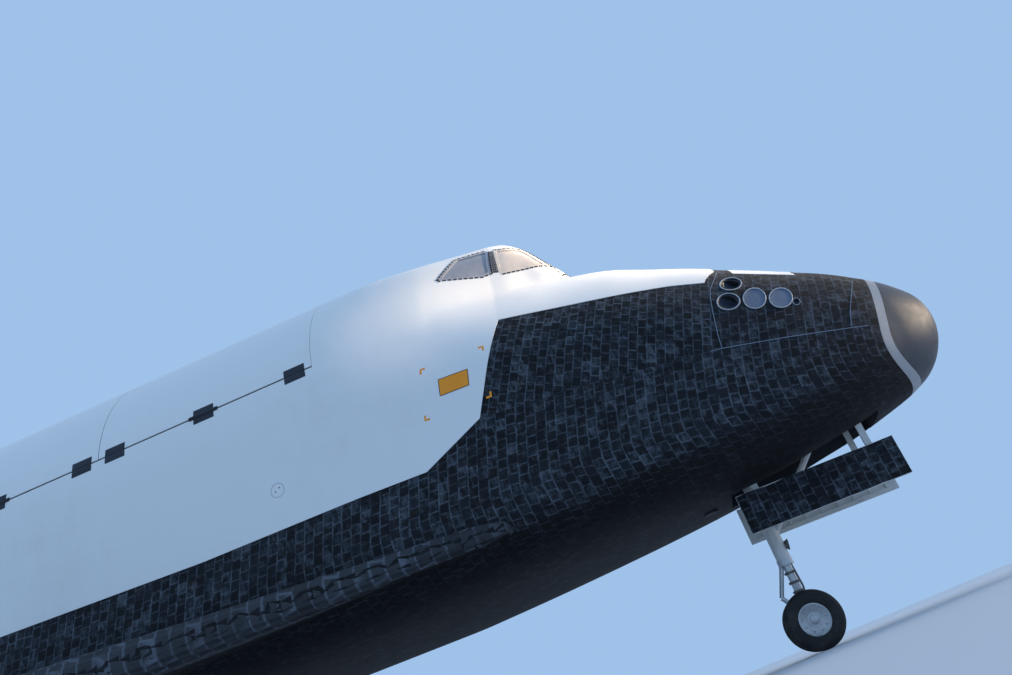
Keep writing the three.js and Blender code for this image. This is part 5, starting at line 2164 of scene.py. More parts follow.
JETS = [
    Jet(2675, 2875, 135, JetKind.CUP, (0.2, 1, 0.0)),
    Jet(2858, 2543, 139, JetKind.CUP, (0.2, 1, -0.05)),
    Jet(2491, 2481, 146, JetKind.COVER, (0.15, 1, -0.32)),
    Jet(2141, 2371, 146, JetKind.COVER, (0.18, 1, -0.25)),
    Jet(1969, 2238, 48, JetKind.CUP, (0.15, 1, -0.3)),
]
# The white panel on top of the nose: station and distance from the middle of its edge
TOP_PANEL = [(1694, 957), (1900, 1010), (2150, 1075), (2350, 1120), (2533, 1160)]
# The jets on top of the nose: station, distance from the middle and radius
TOP_JETS = [(2450, 366, 110), (2450, 0, 110), (1650, 372, 120), (1650, 0, 120)]
MODULE_SEAMS = {
    "module_seam_aft": [
        (2745, 3240), (2860, 3048), (3006, 2846), (3074, 2670), (3149, 2406), (3231, 2054), (3262, 1860),
    ],
    "module_seam_low": [(1204, 1580), (2233, 1722), (3262, 1860), (3420, 1872)],
    "module_seam_fore": [(957, 2435), (1172, 2121), (1324, 1881), (1437, 1640)],
}


@dataclass
class ThrusterModule:
    """The forward thruster module: jets with their rims, the white top panel and the seams round it.

    Args:
        lift: How far the seams' faces stand off the surface.
        seam: The seams' width.
        cells: How many points the top panel has from its edge to the middle.
    """

    lift: float = 8.5
    seam: float = 10
    cells: int = 15

    def _jets(self, finishes: Finishes) -> list[Piece]:
        """The jets of both sides."""
        made = []
        for number, jet in enumerate(JETS, 1):
            for piece in jet.pieces(f"side_jet_{number}_starboard", finishes):
                made += mirrored(piece)
        return made

    def _cut_tiles(self) -> None:
        """Open the tiles where the jets come through."""
        for side in Side:
            tiles = bpy.data.objects["nose_tiles_" + side.label]
            for jet in JETS:
                carve(tiles, on_side(jet.hole(), side))

    def _top_panel(self, finishes: Finishes) -> list[Piece]:
        """The white panel on the crown, with its own jets."""
        at, edge = zip(*TOP_PANEL)
        lines = []
        for station in stations_between(at[0], at[-1], 60):
            wide = float(np.interp(station, at, edge))
            line = FORM.on_top(np.full(self.cells, station), np.linspace(wide, 0, self.cells), 11)
            line[-1, 1] = 0
            lines.append(line)
        half = turn_to(sheet("top_panel_starboard", np.array(lines)), from_axis)
        modify(half, "SOLIDIFY", thickness=0.014, offset=-1)
        smooth(half, 30)
        made = mirrored(dress(half, finishes.skin, "white_tile"))
        for number, (station, side, r) in enumerate(TOP_JETS, 1):
            side = max(side, 1)
            normal = FORM.normal(station, FORM.angle_at_side(station, side))
            outline = [
                (0, 10), (r * 0.9, 12), (r, 15), (r * 1.2, 15), (r * 1.25, 9), (r * 1.25, -20), (0, -20),
            ]
            lid = smooth(turned(f"top_jet_{number}_starboard", outline), 50)
            aim(lid, Vector(STANCE.points(FORM.on_top(station, side))), STANCE.way(*normal))
            dress(lid, finishes.disc, "edge_grey")
            made += mirrored(lid) if side > 1 else [lid]
        return made

    def _seams(self, finishes: Finishes) -> list[Piece]:
        """The pale joints round the module."""
        made = []
        for name, path in MODULE_SEAMS.items():
            seam = side_line(name + "_starboard", path, self.seam, self.lift, 8)
            made += mirrored(dress(seam, finishes.seam, "black_tile"))
        return made

    def build(self, finishes: Finishes) -> list[Piece]:
        """Build and dress the module."""
        self._cut_tiles()
        return self._jets(finishes) + self._top_panel(finishes) + self._seams(finishes)


@dataclass
class Markings:
    """Blank sign, corner marks and a round access mark on the starboard side, some of them to port as well.

    Args:
        lift: How far the marks on the white paint stand off the surface.
        low_lift: The same on the black tiles.
        reach: The length of a corner mark's arms.
        slant: How far a corner mark's upright arm leans.
        width: The width of a corner mark's arms.
        sign: The sign's corners as station and height.
        marks: Each corner mark's station and height, and the ways that its arms point.
        spots: The rust spots' stations and heights.
        ring: The access ring's station and height.
        starboard_only: How the names of pieces without a twin begin.
    """

    lift: float = 14.5
    low_lift: float = 8.5
    reach: float = 68
    slant: float = 12
    width: float = 31
    sign: tuple[tuple[float, float], ...] = ((7054, 2810), (6620, 2806), (6667, 2568), (7097, 2566))
    marks: tuple[tuple[float, ...], ...] = (
        (7254, 3053, -1, -1), (6320, 3073, 1, -1), (7392, 2302, -1, 1), (6432, 2298, 1, 1),
    )
    spots: tuple[tuple[float, float], ...] = ((9650, 2200), (9718, 2157))
    ring: tuple[float, float] = (9683, 2171)
    starboard_only: tuple[str, ...] = ("sign", "corner_mark")

    @staticmethod
    def _button(name: str, outline: Sequence[tuple[float, float]], at: Sequence[float], steps: int) -> Piece:
        """A round piece on the white side."""
        place = Vector(STANCE.points(FORM.on_side(*at, 12)))
        return aim(turned(name, outline, steps), place, Vector((0, -1, 0)))

    def build(self, finishes: Finishes) -> list[Piece]:
        """Build and dress the marks."""
        plate = side_patch("sign_plate_starboard", self.sign, self.lift, 4)
        border = side_line("sign_border_starboard", [*self.sign, self.sign[0]], 9, self.lift + 1, 4)
        made = [dress(plate, finishes.sign, "edge_grey"), dress(border, finishes.dark_metal, "edge_grey")]
        for n, (station, height, along, up) in enumerate(self.marks, 1):
            tip = (station - self.slant * up, height + up * self.reach)
            path = [(station + along * self.reach, height), (station, height), tip]
            lift = self.lift if n != len(self.marks) else self.low_lift
            corner = side_line(f"corner_mark_{n}_starboard", path, self.width, lift, 5)
            made.append(dress(corner, finishes.sign, "edge_grey"))
        outline = [(0, 1.5), (9, 1.5), (12, 0), (12, -3), (0, -3)]
        for n, at in enumerate(self.spots, 1):
            rivet = self._button(f"rust_spot_{n}_starboard", outline, at, 12)
            made.append(dress(rivet, finishes.rust, "white_tile"))
        outline = [(96, 1.2), (106, 1.2), (107, -3), (95, -3)]
        ring = self._button("access_ring_starboard", outline, self.ring, 48)
        made.append(dress(ring, finishes.seam_white, "white_tile"))
        both = []
        for piece in made:
            both += [piece] if piece.name.startswith(self.starboard_only) else mirrored(piece)
        return both


@dataclass
class Wings:
    """The tiles of the gloves and of the wings' undersides, and the grey panels along the leading edges.

    Args:
        lift: How far the tiles stand off the surface.
        first: The station at which the glove's tiles begin.
        inner: Where the tiles on the underside begin, by the distance from the middle.
        foot: The same on the glove's top.
        outer: Where they end at the tip.
        ahead: How far the columns of tiles start ahead of the line along which they are cut.
        pitch: Their pitch under the wing.
        glove_depth: How deep the grey panels are on the glove.
        wing_depth: The same on the wing.
        joint: The width of the strips over their joints.
    """

    first: float = 6790
    inner: float = 1905
    foot: float = 2350
    outer: float = 11888
    ahead: float = 160
    pitch: float = 150
    glove_depth: float = 112.0
    wing_depth: float = 284.0
    joint: float = 34
    lift: float = 1.5

    def _glove(self) -> TileBlanket:
        """Tiles round the glove's leading edge."""
        lines = []
        for station in np.linspace(self.first, GREY_EDGE_START - 3, 56):
            side = glove_side(station)
            deep = (side - self.inner, side - self.foot)
            lines.append(WING.wrap((station, side), (0.0, -1.0), *deep, self.lift))
        lines = Tracks(tuple(lines))
        # The glove's tiles take the darker copy of the tile finish, with painted shade.
        return TileBlanket(
            "glove_tiles_starboard", lines, KEEL, CROWN, KEEL, 21, thick=8, outward=from_glove, shaded=True
        )

    def _underside(self) -> TileBlanket:
        """Tiles under the wing."""
        well = (MAIN_WELL.corners[0][1], MAIN_WELL.corners[2][1])
        bend, bend_side = GREY_BEND
        tip, tip_side = GREY_TIP
        lines = []
        for side in stations_between(self.inner, self.outer, self.pitch, (*well, bend_side)):
            start = GREY_EDGE_START + 3
            if side > bend_side:
                start = bend + (side - bend_side) * (tip - bend) / (tip_side - bend_side) - self.ahead
            stations = np.linspace(start, WING.rear(side) - 3, 90)
            path = np.stack([stations, np.full(90, side), np.zeros(90)], -1)
            lines.append(WING.track(path, np.array([1.0, 0.0]), self.lift))
        beyond_glove = Cut(((14400, 3755), (bend, bend_side + 3), (bend, 6500), (14400, 6500)))
        beyond_wing = Cut(((bend, bend_side + 3), (tip, tip_side + 3), (24000, 14000), (16000, 6500)))
        return TileBlanket(
            "wing_tiles_starboard", Tracks(tuple(lines)), KEEL, CROWN, CROWN, 22, True, self.pitch,
            cuts=(MAIN_WELL, beyond_glove, beyond_wing), outward=facing((0.0, 0.0, -1.0)),
        )

    def _edge_panels(self, finishes: Finishes) -> list[Piece]:
        """The grey panels of the starboard leading edge with the strips that cover their joints."""
        marks = []
        for share in np.linspace(0, 1, 9):
            station = GREY_EDGE_START + 4 + share * (EDGE_BEND[0] - 60 - GREY_EDGE_START)
            marks.append((station, glove_side(station), (0.35 * share**6, -1.0), self.glove_depth))
        for share in np.linspace(0.02, 1, 15):
            side = EDGE_BEND[1] + share * (EDGE_TIP[1] - 10 - EDGE_BEND[1])
            marks.append((WING.lead(side), side, (0.7071, -0.7071), self.wing_depth))
        panels = []
        strips = []
        for (s0, y0, way0, deep0), (s1, y1, way1, deep1) in zip(marks, marks[1:]):
            rows = []
            for share in np.linspace(0.0, 1.0, 6):
                a, b = 1 - share, share
                way = np.array(way0) * a + np.array(way1) * b
                deep = deep0 * a + deep1 * b
                ring = WING.wrap((s0 * a + s1 * b, y0 * a + y1 * b), way / np.linalg.norm(way), deep, deep, 4)
                rows.append(ring.at(np.linspace(0, ring.girth[-1], 29)))
            piece = turn_to(sheet("panel", np.array(rows)), from_glove)
            panels.append(modify(piece, "SOLIDIFY", thickness=0.008, offset=-1))
            step = self.joint / math.hypot(s1 - s0, y1 - y0)
            strip = np.array([rows[0], rows[0] + (rows[-1] - rows[0]) * step])
            lifted = turn_to(sheet("strip", strip), from_glove)
            strips.append(modify(lifted, "SOLIDIFY", thickness=0.012, offset=0.6))
        edge = dress(smooth(join("edge_panels_starboard", panels), 40), finishes.edge, "edge_grey")
        joints = dress(smooth(join("edge_joints_starboard", strips), 40), finishes.edge_joint, "edge_grey")
        return mirrored(edge) + mirrored(joints)

    def build(self, finishes: Finishes) -> list[Piece]:
        """Build and dress both wings' skins."""
        made = self._glove().both(finishes) + self._underside().both(finishes)
        return made + self._edge_panels(finishes)


@dataclass
class HingeCovers:
    """Dark covers along the hinge line of the payload bay doors, in two halves that part with the door.

    Args:
        length: A cover's length.
        height: The height of its two halves together.
        lift: How far its face stands off the surface.
        gap: Half the gap between its halves.
        spots: How far the covers' middles are behind the start of each segment of the door.
    """

    length: float = 342
    height: float = 242
    lift: float = 17
    gap: float = 2.5
    spots: tuple[float, ...] = (292, 1829, 3365)

    def build(self, finishes: Finishes) -> list[Piece]:
        """Build and dress the covers of both sides."""
        made = []
        starts = [BAY_START + DOOR_SEGMENT * n for n in range(DOOR_SEGMENTS)]
        stations = [start + spot for start in starts for spot in self.spots]
        for half, low, high, body in (
            ("lower", -self.height / 2, -self.gap, "airframe"),
            ("upper", self.gap, self.height / 2, "bay_door_starboard"),
        ):
            plates = []
            for station in stations:
                a = station - self.length / 2
                b = station + self.length / 2
                under = HINGE_HEIGHT + low
                over = HINGE_HEIGHT + high
                corners = [(a, under), (b, under), (b, over), (a, over)]
                plates.append(side_patch("cover", corners, self.lift, self.lift - 6, 3))
            covers = join(f"hinge_covers_{half}_starboard", plates)
            dress(covers, finishes.cover, "black_tile", body)
            made += mirrored(covers, body.replace("starboard", "port"))
        return made


Spot = tuple[np.ndarray, np.ndarray, np.ndarray]


class Look(Enum):
    """The direction in which a window's outline is drawn."""

    SIDEWAYS = "sideways"
    DOWN = "down"


@dataclass(frozen=True)
class Window:
    """One pane of the cockpit.

    Args:
        node: The solid that it stands for.
        outline: Its corners as station and height, or as station and distance from the middle.
        look: The direction in which the outline is drawn.
    """

    node: str
    outline: tuple[tuple[float, float], ...]
    look: Look

    def corners(self, grow: float) -> np.ndarray:
        """The corners, moved out from the pane's middle."""
        flat = np.array(self.outline, float)
        middle = flat.mean(0)
        count = len(flat)
        area = sum(np.cross(flat[i] - middle, flat[(i + 1) % count] - middle) for i in range(count))
        grown = []
        for i in range(count):
            before = flat[i] - flat[i - 1]
            after = flat[(i + 1) % count] - flat[i]
            normals = []
            for edge in (before, after):
                normal = np.array([edge[1], -edge[0]]) / np.linalg.norm(edge)
                normals.append(normal if area > 0 else -normal)
            shift = (normals[0] + normals[1]) / (1 + normals[0] @ normals[1])
            grown.append(flat[i] + shift * grow)
        return np.array(grown)

    def prism(self, grow: float, corner: float) -> Piece:
        """The pane's outline as a prism through the skin of the starboard side."""
        flat = self.corners(grow)
        if self.look is Look.SIDEWAYS:
            places = np.stack([flat[:, 0], np.full(len(flat), -450.0), flat[:, 1]], -1)
            return prism("frame_" + self.node, STANCE.points(places), Vector((0, -1, 0)), 2.2, corner)
        places = np.stack([flat[:, 0], -flat[:, 1], np.full(len(flat), 3900.0)], -1)
        return prism("frame_" + self.node, STANCE.points(places), STANCE.way(0, 0, 1), 2.4, corner)

    def path(self, grow: float, step: float) -> np.ndarray:
        """Evenly spread places round the grown outline.

        Args:
            grow: How far the outline is moved out.
            step: About how far the places are apart.

        Returns:
            The places on the surface, with the direction to the next one.
        """
        flat = self.corners(grow)
        closed = np.concatenate([flat, flat[:1]])
        if self.look is Look.SIDEWAYS:
            full = FORM.on_side(closed[:, 0], closed[:, 1])
        else:
            full = FORM.on_top(closed[:, 0], closed[:, 1])
        lengths = lengths_along(full)
        count = max(8, round(lengths[-1] / step))
        marks = (np.arange(count) + 0.5) / count * lengths[-1]
        return np.stack([np.interp(marks, lengths, closed[:, i]) for i in range(2)], -1)


SIDE_PANE = ((6710, 4812), (6416, 5250), (5928, 5300), (5977, 4738), (6110, 4707))
CENTRE_PANE = ((4800, 60), (5400, 60), (5385, 590), (5075, 770), (4960, 720))
WINDOWS = [
    Window("side_window", SIDE_PANE, Look.SIDEWAYS),
    Window("quarter_windshield", ((5780, 5255), (5393, 5225), (5095, 4722), (5797, 4679)), Look.SIDEWAYS),
    Window("centre_windshield", CENTRE_PANE, Look.DOWN),
    Window("overhead_window", ((6300, 250), (6900, 250), (6900, 800), (6300, 800)), Look.DOWN),
]
# The dark plate between the side pane and the quarter pane
PILLAR = Window("pillar", ((5946, 4724), (5898, 5294), (5812, 5276), (5826, 4700)), Look.SIDEWAYS)


@dataclass
class Cockpit:
    """The window panes with their rims and borders of small bricks.

    Args:
        corner: The rounding of the openings' corners in metres.
        pane_gap: How far the openings reach past the panes.
        rim_width: The width of the rims.
        brick: Length, width and half the thickness of a brick.
        dot: The same of the small bricks on the pillar.
        brick_gap: How far the bricks stand outside the panes.
        brick_step: About how far they are apart.
        bare: The stations between which a border has none, because the pillar is there.
        dot_columns: The stations of the columns of small bricks on the pillar.
        dot_step: How far these are apart.
    """

    corner: float = 0.045
    pane_gap: float = 28
    rim_width: float = 36
    brick: tuple[float, float, float] = (60, 30, 5)
    dot: tuple[float, float, float] = (18, 18, 4)
    brick_gap: float = 42
    brick_step: float = 88
    bare: tuple[float, float] = (5805, 5952)
    dot_columns: tuple[float, ...] = (5842, 5868, 5894)
    dot_step: float = 42

    def _shell(self, lift: float, thick: float) -> Piece:
        """The cockpit's skin at some distance from the surface."""
        stations = stations_between(4700, 7200, 40)
        skin = WhiteSkin("shell", stations, lambda s: 4250.0, None, 60, lift, thick)
        return skin.shell()

    def _open_skin(self) -> None:
        """Cut the openings of the windows into the white skin of both sides."""
        for window in WINDOWS:
            for side in Side:
                cutter = on_side(window.prism(self.pane_gap, self.corner), side)
                carve(bpy.data.objects["forward_skin_" + side.label], cutter)
        for side in Side:
            smooth(bpy.data.objects["forward_skin_" + side.label], 30)

    @staticmethod
    def _bricks(
        name: str,
        size: Sequence[float],
        spots: Sequence[Spot],
        material: Material,
        slot: str,
    ) -> Piece:
        """Set small bricks on the skin.

        Args:
            name: The piece's name.
            size: Length, width and half the thickness of a brick.
            spots: Each brick's place, its long direction and the outward normal.
            material: Their finish.
            slot: The record's slot that they stand for.

        Returns:
            The bricks as one piece.
        """
        length, width, thick = (each * MM for each in size)
        corner = Vector((length / 2, width / 2, thick))
        model = block("brick", -corner, corner, 0.002)
        moves = []
        for place, along, normal in spots:
            at = Vector(STANCE.points(place))
            z = STANCE.way(*normal)
            x = STANCE.way(*along)
            x = (x - z * x.dot(z)).normalized()
            moves.append(Matrix.Translation(at) @ Matrix((x, z.cross(x), z)).transposed().to_4x4())
        return dress(join(name, repeat(model, moves)), material, slot)

    def _border(self, window: Window) -> list[Spot]:
        """The spots of the bricks round one window."""
        flat = window.path(self.brick_gap, self.brick_step)
        following = np.roll(flat, -1, axis=0)
        if window.look is Look.SIDEWAYS:
            angle = FORM.angle_at_height(flat[:, 0], flat[:, 1])
            ahead = FORM.on_side(following[:, 0], following[:, 1])
        else:
            angle = FORM.angle_at_side(flat[:, 0], flat[:, 1])
            ahead = FORM.on_top(following[:, 0], following[:, 1])
        places = FORM.place(flat[:, 0], angle, 13)
        normals = FORM.normal(flat[:, 0], angle)
        low, high = self.bare
        pillar = (flat[:, 0] > low) & (flat[:, 0] < high) & (window.look is Look.SIDEWAYS)
        return [spot for spot, skip in zip(zip(places, ahead - places, normals), pillar) if not skip]

    def _pillar(self) -> list[Spot]:
        """The spots of the small bricks between the side and the quarter pane."""
        spots = []
        for row, station in enumerate(self.dot_columns):
            heights = np.arange(4730, 5270, self.dot_step) + self.dot_step / 2 * (row % 2)
            slant = (heights - 5000) * (0.03 + 0.02 * row)
            angle = FORM.angle_at_height(station - slant, heights)
            places = FORM.place(station - slant, angle, 15)
            normals = FORM.normal(station - slant, angle)
            spots += [(place, np.array([1.0, 0, 0]), normal) for place, normal in zip(places, normals)]
        return spots

    def build(self, finishes: Finishes) -> list[Piece]:
        """Build and dress the windows."""
        self._open_skin()
        made = []
        for window in WINDOWS:
            pane = carve(self._shell(1, 52), window.prism(-2, self.corner), "INTERSECT")
            reach = self.pane_gap - 2
            rim = carve(self._shell(11, 30), window.prism(reach, self.corner), "INTERSECT")
            rim = carve(rim, window.prism(reach - self.rim_width, self.corner * 0.8))
            pane.name = window.node + "_pane_starboard"
            rim.name = window.node + "_rim_starboard"
            # Windshields take the pane and rim finishes with painted sunlight, the other windows those with
            # painted shade.
            looks = (finishes.side_pane, finishes.side_rim)
            if "windshield" in window.node:
                looks = (finishes.front_pane, finishes.front_rim)
            for piece, finish in zip((pane, rim), looks):
                dress(smooth(piece, 40), finish, "window_pane")
            border = (self.brick, self._border(window), finishes.brick, "black_tile")
            bricks = self._bricks(window.node + "_border_starboard", *border)
            panes = mirrored(pane)
            for each, side in zip(panes, ("starboard", "port")):
                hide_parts(f"{window.node}_{side}")
            made += panes + mirrored(rim) + mirrored(bricks)
        # The pillar's dots take the rim finish with painted shade.
        dots = (self.dot, self._pillar(), finishes.side_rim, "white_tile")
        dots = self._bricks("window_pillar_dots_starboard", *dots)
        plate = carve(self._shell(15, 8), PILLAR.prism(0, 0.01), "INTERSECT")
        plate.name = "window_pillar_starboard"
        dress(smooth(plate, 40), finishes.brick, "black_tile")
        return made + mirrored(dots) + mirrored(plate)


@dataclass
class CrewHatch:
    """The skin of the round hatch on the port side, which swings with it, and the opening round it.

    Args:
        centre: Station, side and height of its middle.
        outward: Its outward direction as aft, port and up.
        opening: The radius of the opening in the skins.
        lid: The radius of its own skin.
    """

    centre: tuple[float, float, float] = (6700, 2509, 2100)
    outward: tuple[float, float, float] = (-0.1077, 0.9942, 0)
    opening: float = 524
    lid: float = 486

    def _cutter(self, radius: float) -> Piece:
        """A round cutter through the skin."""
        at = STANCE.point(*self.centre)
        way = STANCE.way(*self.outward)
        return bar("hatch_cutter", at - way * 0.35, at + way * 0.35, radius, sides=64)

    def build(self, finishes: Finishes) -> list[Piece]:
        """Part the skins at the hatch and add its window."""
        made = []
        slots = {"forward_skin": "white_tile", "panel_tiles": "black_tile", "forward_tiles": "black_tile"}
        for name, slot in slots.items():
            skin = bpy.data.objects[name + "_port"]
            lid = carve(copied(skin, "hatch_" + name), self._cutter(self.lid), "INTERSECT")
            carve(skin, self._cutter(self.opening))
            made.append(dress(lid, lid.data.materials[0], slot, "crew_hatch"))
        for piece in (made[0], bpy.data.objects["forward_skin_port"]):
            smooth(piece, 30)
        at = Vector(STANCE.point(*self.centre)) + STANCE.way(*self.outward) * 0.016
        outline = [(0, 6), (126, 4), (128, 10), (168, 10), (174, 4), (174, -14), (0, -14)]
        window = aim(smooth(turned("hatch_window", outline, 40), 40), at, STANCE.way(*self.outward))
        # The hatch window takes the pane finish with painted shade.
        made.append(dress(window, finishes.side_pane, "window_pane", "crew_hatch"))
        return made


@dataclass
class PayloadBay:
    """The liner, frames and ends of the payload bay, and the radiators inside its doors.

    Args:
        radius: The trough's radius.
        axis: The height of its axis.
        sill: The height of its upper edges.
        door_radius: The radius inside the doors.
        door_axis: The height of its axis.
        frames: How many frames there are.
        panels: How many radiator panels each door has.
        panel_length: The length of a panel.
        panel_step: How far two panels are apart from start to start.
        panel_arc: The angles over the horizontal at which a panel begins and ends.
        clear: How far the radiators are inside the doors.
    """

    radius: float = 2320
    axis: float = 3378
    sill: float = 3780
    door_radius: float = 2530
    door_axis: float = 3210
    frames: int = 13
    panels: int = 4
    panel_length: float = 4500
    panel_step: float = 4540
    panel_arc: tuple[float, float] = (15.2, 87.5)
    clear: float = 40

    @staticmethod
    def _section(station: float, flat: np.ndarray) -> np.ndarray:
        """Places at a station from rows of side and height."""
        return np.concatenate([np.full((len(flat), 1), station), flat], 1)

    def _trough(self, station: float, lift: float) -> np.ndarray:
        """Places round the trough from sill to sill at a station, a distance inside its wall."""
        reach = self.radius - lift
        angle = np.linspace(-math.pi / 2, math.pi / 2, 33)
        arc = np.stack([reach * np.sin(angle), self.axis - reach * np.cos(angle)], -1)
        return self._section(station, np.array([(-reach, self.sill), *arc, (reach, self.sill)]))

    def _lining(self, name: str, stations: Sequence[float], lift: float, thick: float) -> Piece:
        """A sheet in the trough, with its thickness towards the wall."""
        rows = np.array([self._trough(station, lift) for station in stations])
        piece = turn_to(sheet(name, rows), lambda points: -from_axis(points))
        return modify(piece, "SOLIDIFY", thickness=thick * MM, offset=-1)

    def _end(self, name: str, station: float, ahead: float) -> Piece:
        """A wall across the bay."""
        angle = np.linspace(0, math.tau, 65)
        out = np.sin(angle)
        down = np.cos(angle)
        trough = self.radius - 12
        roof = self.door_radius - 60
        low = np.stack([trough * out, self.axis - trough * down], -1)
        high = np.stack([roof * out, self.door_axis - roof * down], -1)
        rim = np.where(down[:, None] > 0, low, high)
        middle = np.array([0, self.axis])
        rows = [self._section(station, middle + (rim - middle) * share) for share in np.linspace(0, 1, 5)]
        piece = turn_to(sheet(name, np.array(rows)), facing(np.array(STANCE.way(ahead, 0, 0))))
        with editing(piece, "VERT", whole=True):
            bpy.ops.mesh.remove_doubles(threshold=1e-4)
        return modify(piece, "SOLIDIFY", thickness=0.02, offset=-1)

    def _radiators(self, finishes: Finishes) -> list[Piece]:
        """Curved panels inside the starboard door and their twins."""
        panels = []
        angle = np.radians(np.linspace(*self.panel_arc, 25))
        reach = self.door_radius - self.clear
        flat = np.stack([-reach * np.cos(angle), self.door_axis + reach * np.sin(angle)], -1)
        for n in range(self.panels):
            start = BAY_START + 50 + n * self.panel_step
            stations = np.linspace(start, start + self.panel_length, 12)
            rows = [self._section(station, flat) for station in stations]
            piece = turn_to(sheet("radiator", np.array(rows)), lambda points: -from_axis(points))
            with editing(piece, whole=True):
                bpy.ops.mesh.inset(thickness=0.012, depth=0.004, use_individual=True)
            panels.append(modify(piece, "SOLIDIFY", thickness=0.014, offset=-1))
        radiators = join("radiators_starboard", panels)
        dress(radiators, finishes.radiator, "white_tile", "bay_door_starboard")
        return mirrored(radiators, "bay_door_port")

    def build(self, finishes: Finishes) -> list[Piece]:
        """Build and dress the bay."""
        first = BAY_START + 30
        last = MID_END - 40
        liner = self._lining("bay_liner", np.linspace(first, last, 40), 26, 6)
        ribs = [
            self._lining("rib", (station - 38, station + 38), 104, 78)
            for station in np.linspace(first + 500, last - 500, self.frames)
        ]
        rails = []
        for out, half, low, high in ((2262, 40, 3640, 3770), (420, 50, 1085, 1180)):
            for side in (out, -out):
                rails.append(fitted("rail", (first, side - half, low), (last, side + half, high)))
        frames = join("bay_frames", ribs + rails)
        ends = [self._end("bay_end_fore", BAY_START + 6, 1), self._end("bay_end_aft", MID_END - 6, -1)]
        ring = turned("airlock_ring", [(470, 0), (470, 60), (500, 80), (560, 80), (590, 50), (590, 0)], 64)
        aim(ring, STANCE.point(BAY_START + 24, 0, 3000), STANCE.way(1, 0, 0))
        ends.append(smooth(ring, 40))
        made = [dress(liner, finishes.liner, "white_tile"), dress(frames, finishes.white_gear, "white_tile")]
        made += [dress(end, finishes.liner, "white_tile") for end in ends]
        return made + self._radiators(finishes)


@dataclass(frozen=True)
class Bell:
    """An engine bell, measured from the middle of the sloping base along its own axis.

    Args:
        station: The station of that middle.
        height: Its height.
        side: Its distance to port.
        pitch: How far the axis rises aft, in degrees.
        yaw: How far it turns to port.
        start: Where the bell begins.
        length: Where it ends.
        throat: The radius of its throat.
        exit: The inner radius of its mouth.
        wall: Its thickness.
    """

    station: float
    height: float
    side: float
    pitch: float
    yaw: float
    start: float
    length: float
    throat: float
    exit: float
    wall: float

    def way(self) -> Vector:
        """The direction of the axis, aft."""
        pitch = math.radians(self.pitch)
        yaw = math.radians(self.yaw)
        return STANCE.way(math.cos(pitch) * math.cos(yaw), math.sin(yaw), math.sin(pitch) * math.cos(yaw))

    def along(self, share: float) -> float:
        """The distance along the axis at a share of the bell's length."""
        run = self.length - self.start
        return self.start + run * (0.16 + 0.84 * share)

    def radius(self, share: float) -> float:
        """The inner radius there."""
        return self.throat + (self.exit - self.throat) * math.sin(share * math.pi / 2) ** 0.85

    def placed(self, piece: Piece) -> Piece:
        """Set an upright piece on the axis."""
        return aim(smooth(piece, 40), STANCE.point(self.station, self.side, self.height), self.way())


BELLS = {
    "main_engine_top": Bell(30709, 4470, 0, 16, 0, 1900, 3988, 330, 1165, 45),
    "main_engine_port": Bell(31297, 1921, 1346, 10, 3.5, 1450, 3988, 330, 1165, 45),
    "main_engine_starboard": Bell(31297, 1921, -1346, 10, -3.5, 1450, 3988, 330, 1165, 45),
    "pod_engine_port": Bell(32563, 5715, 2235, 15.8, 6.5, 1130, 1940, 120, 560, 25),
    "pod_engine_starboard": Bell(32563, 5715, -2235, 15.8, -6.5, 1130, 1940, 120, 560, 25),
}


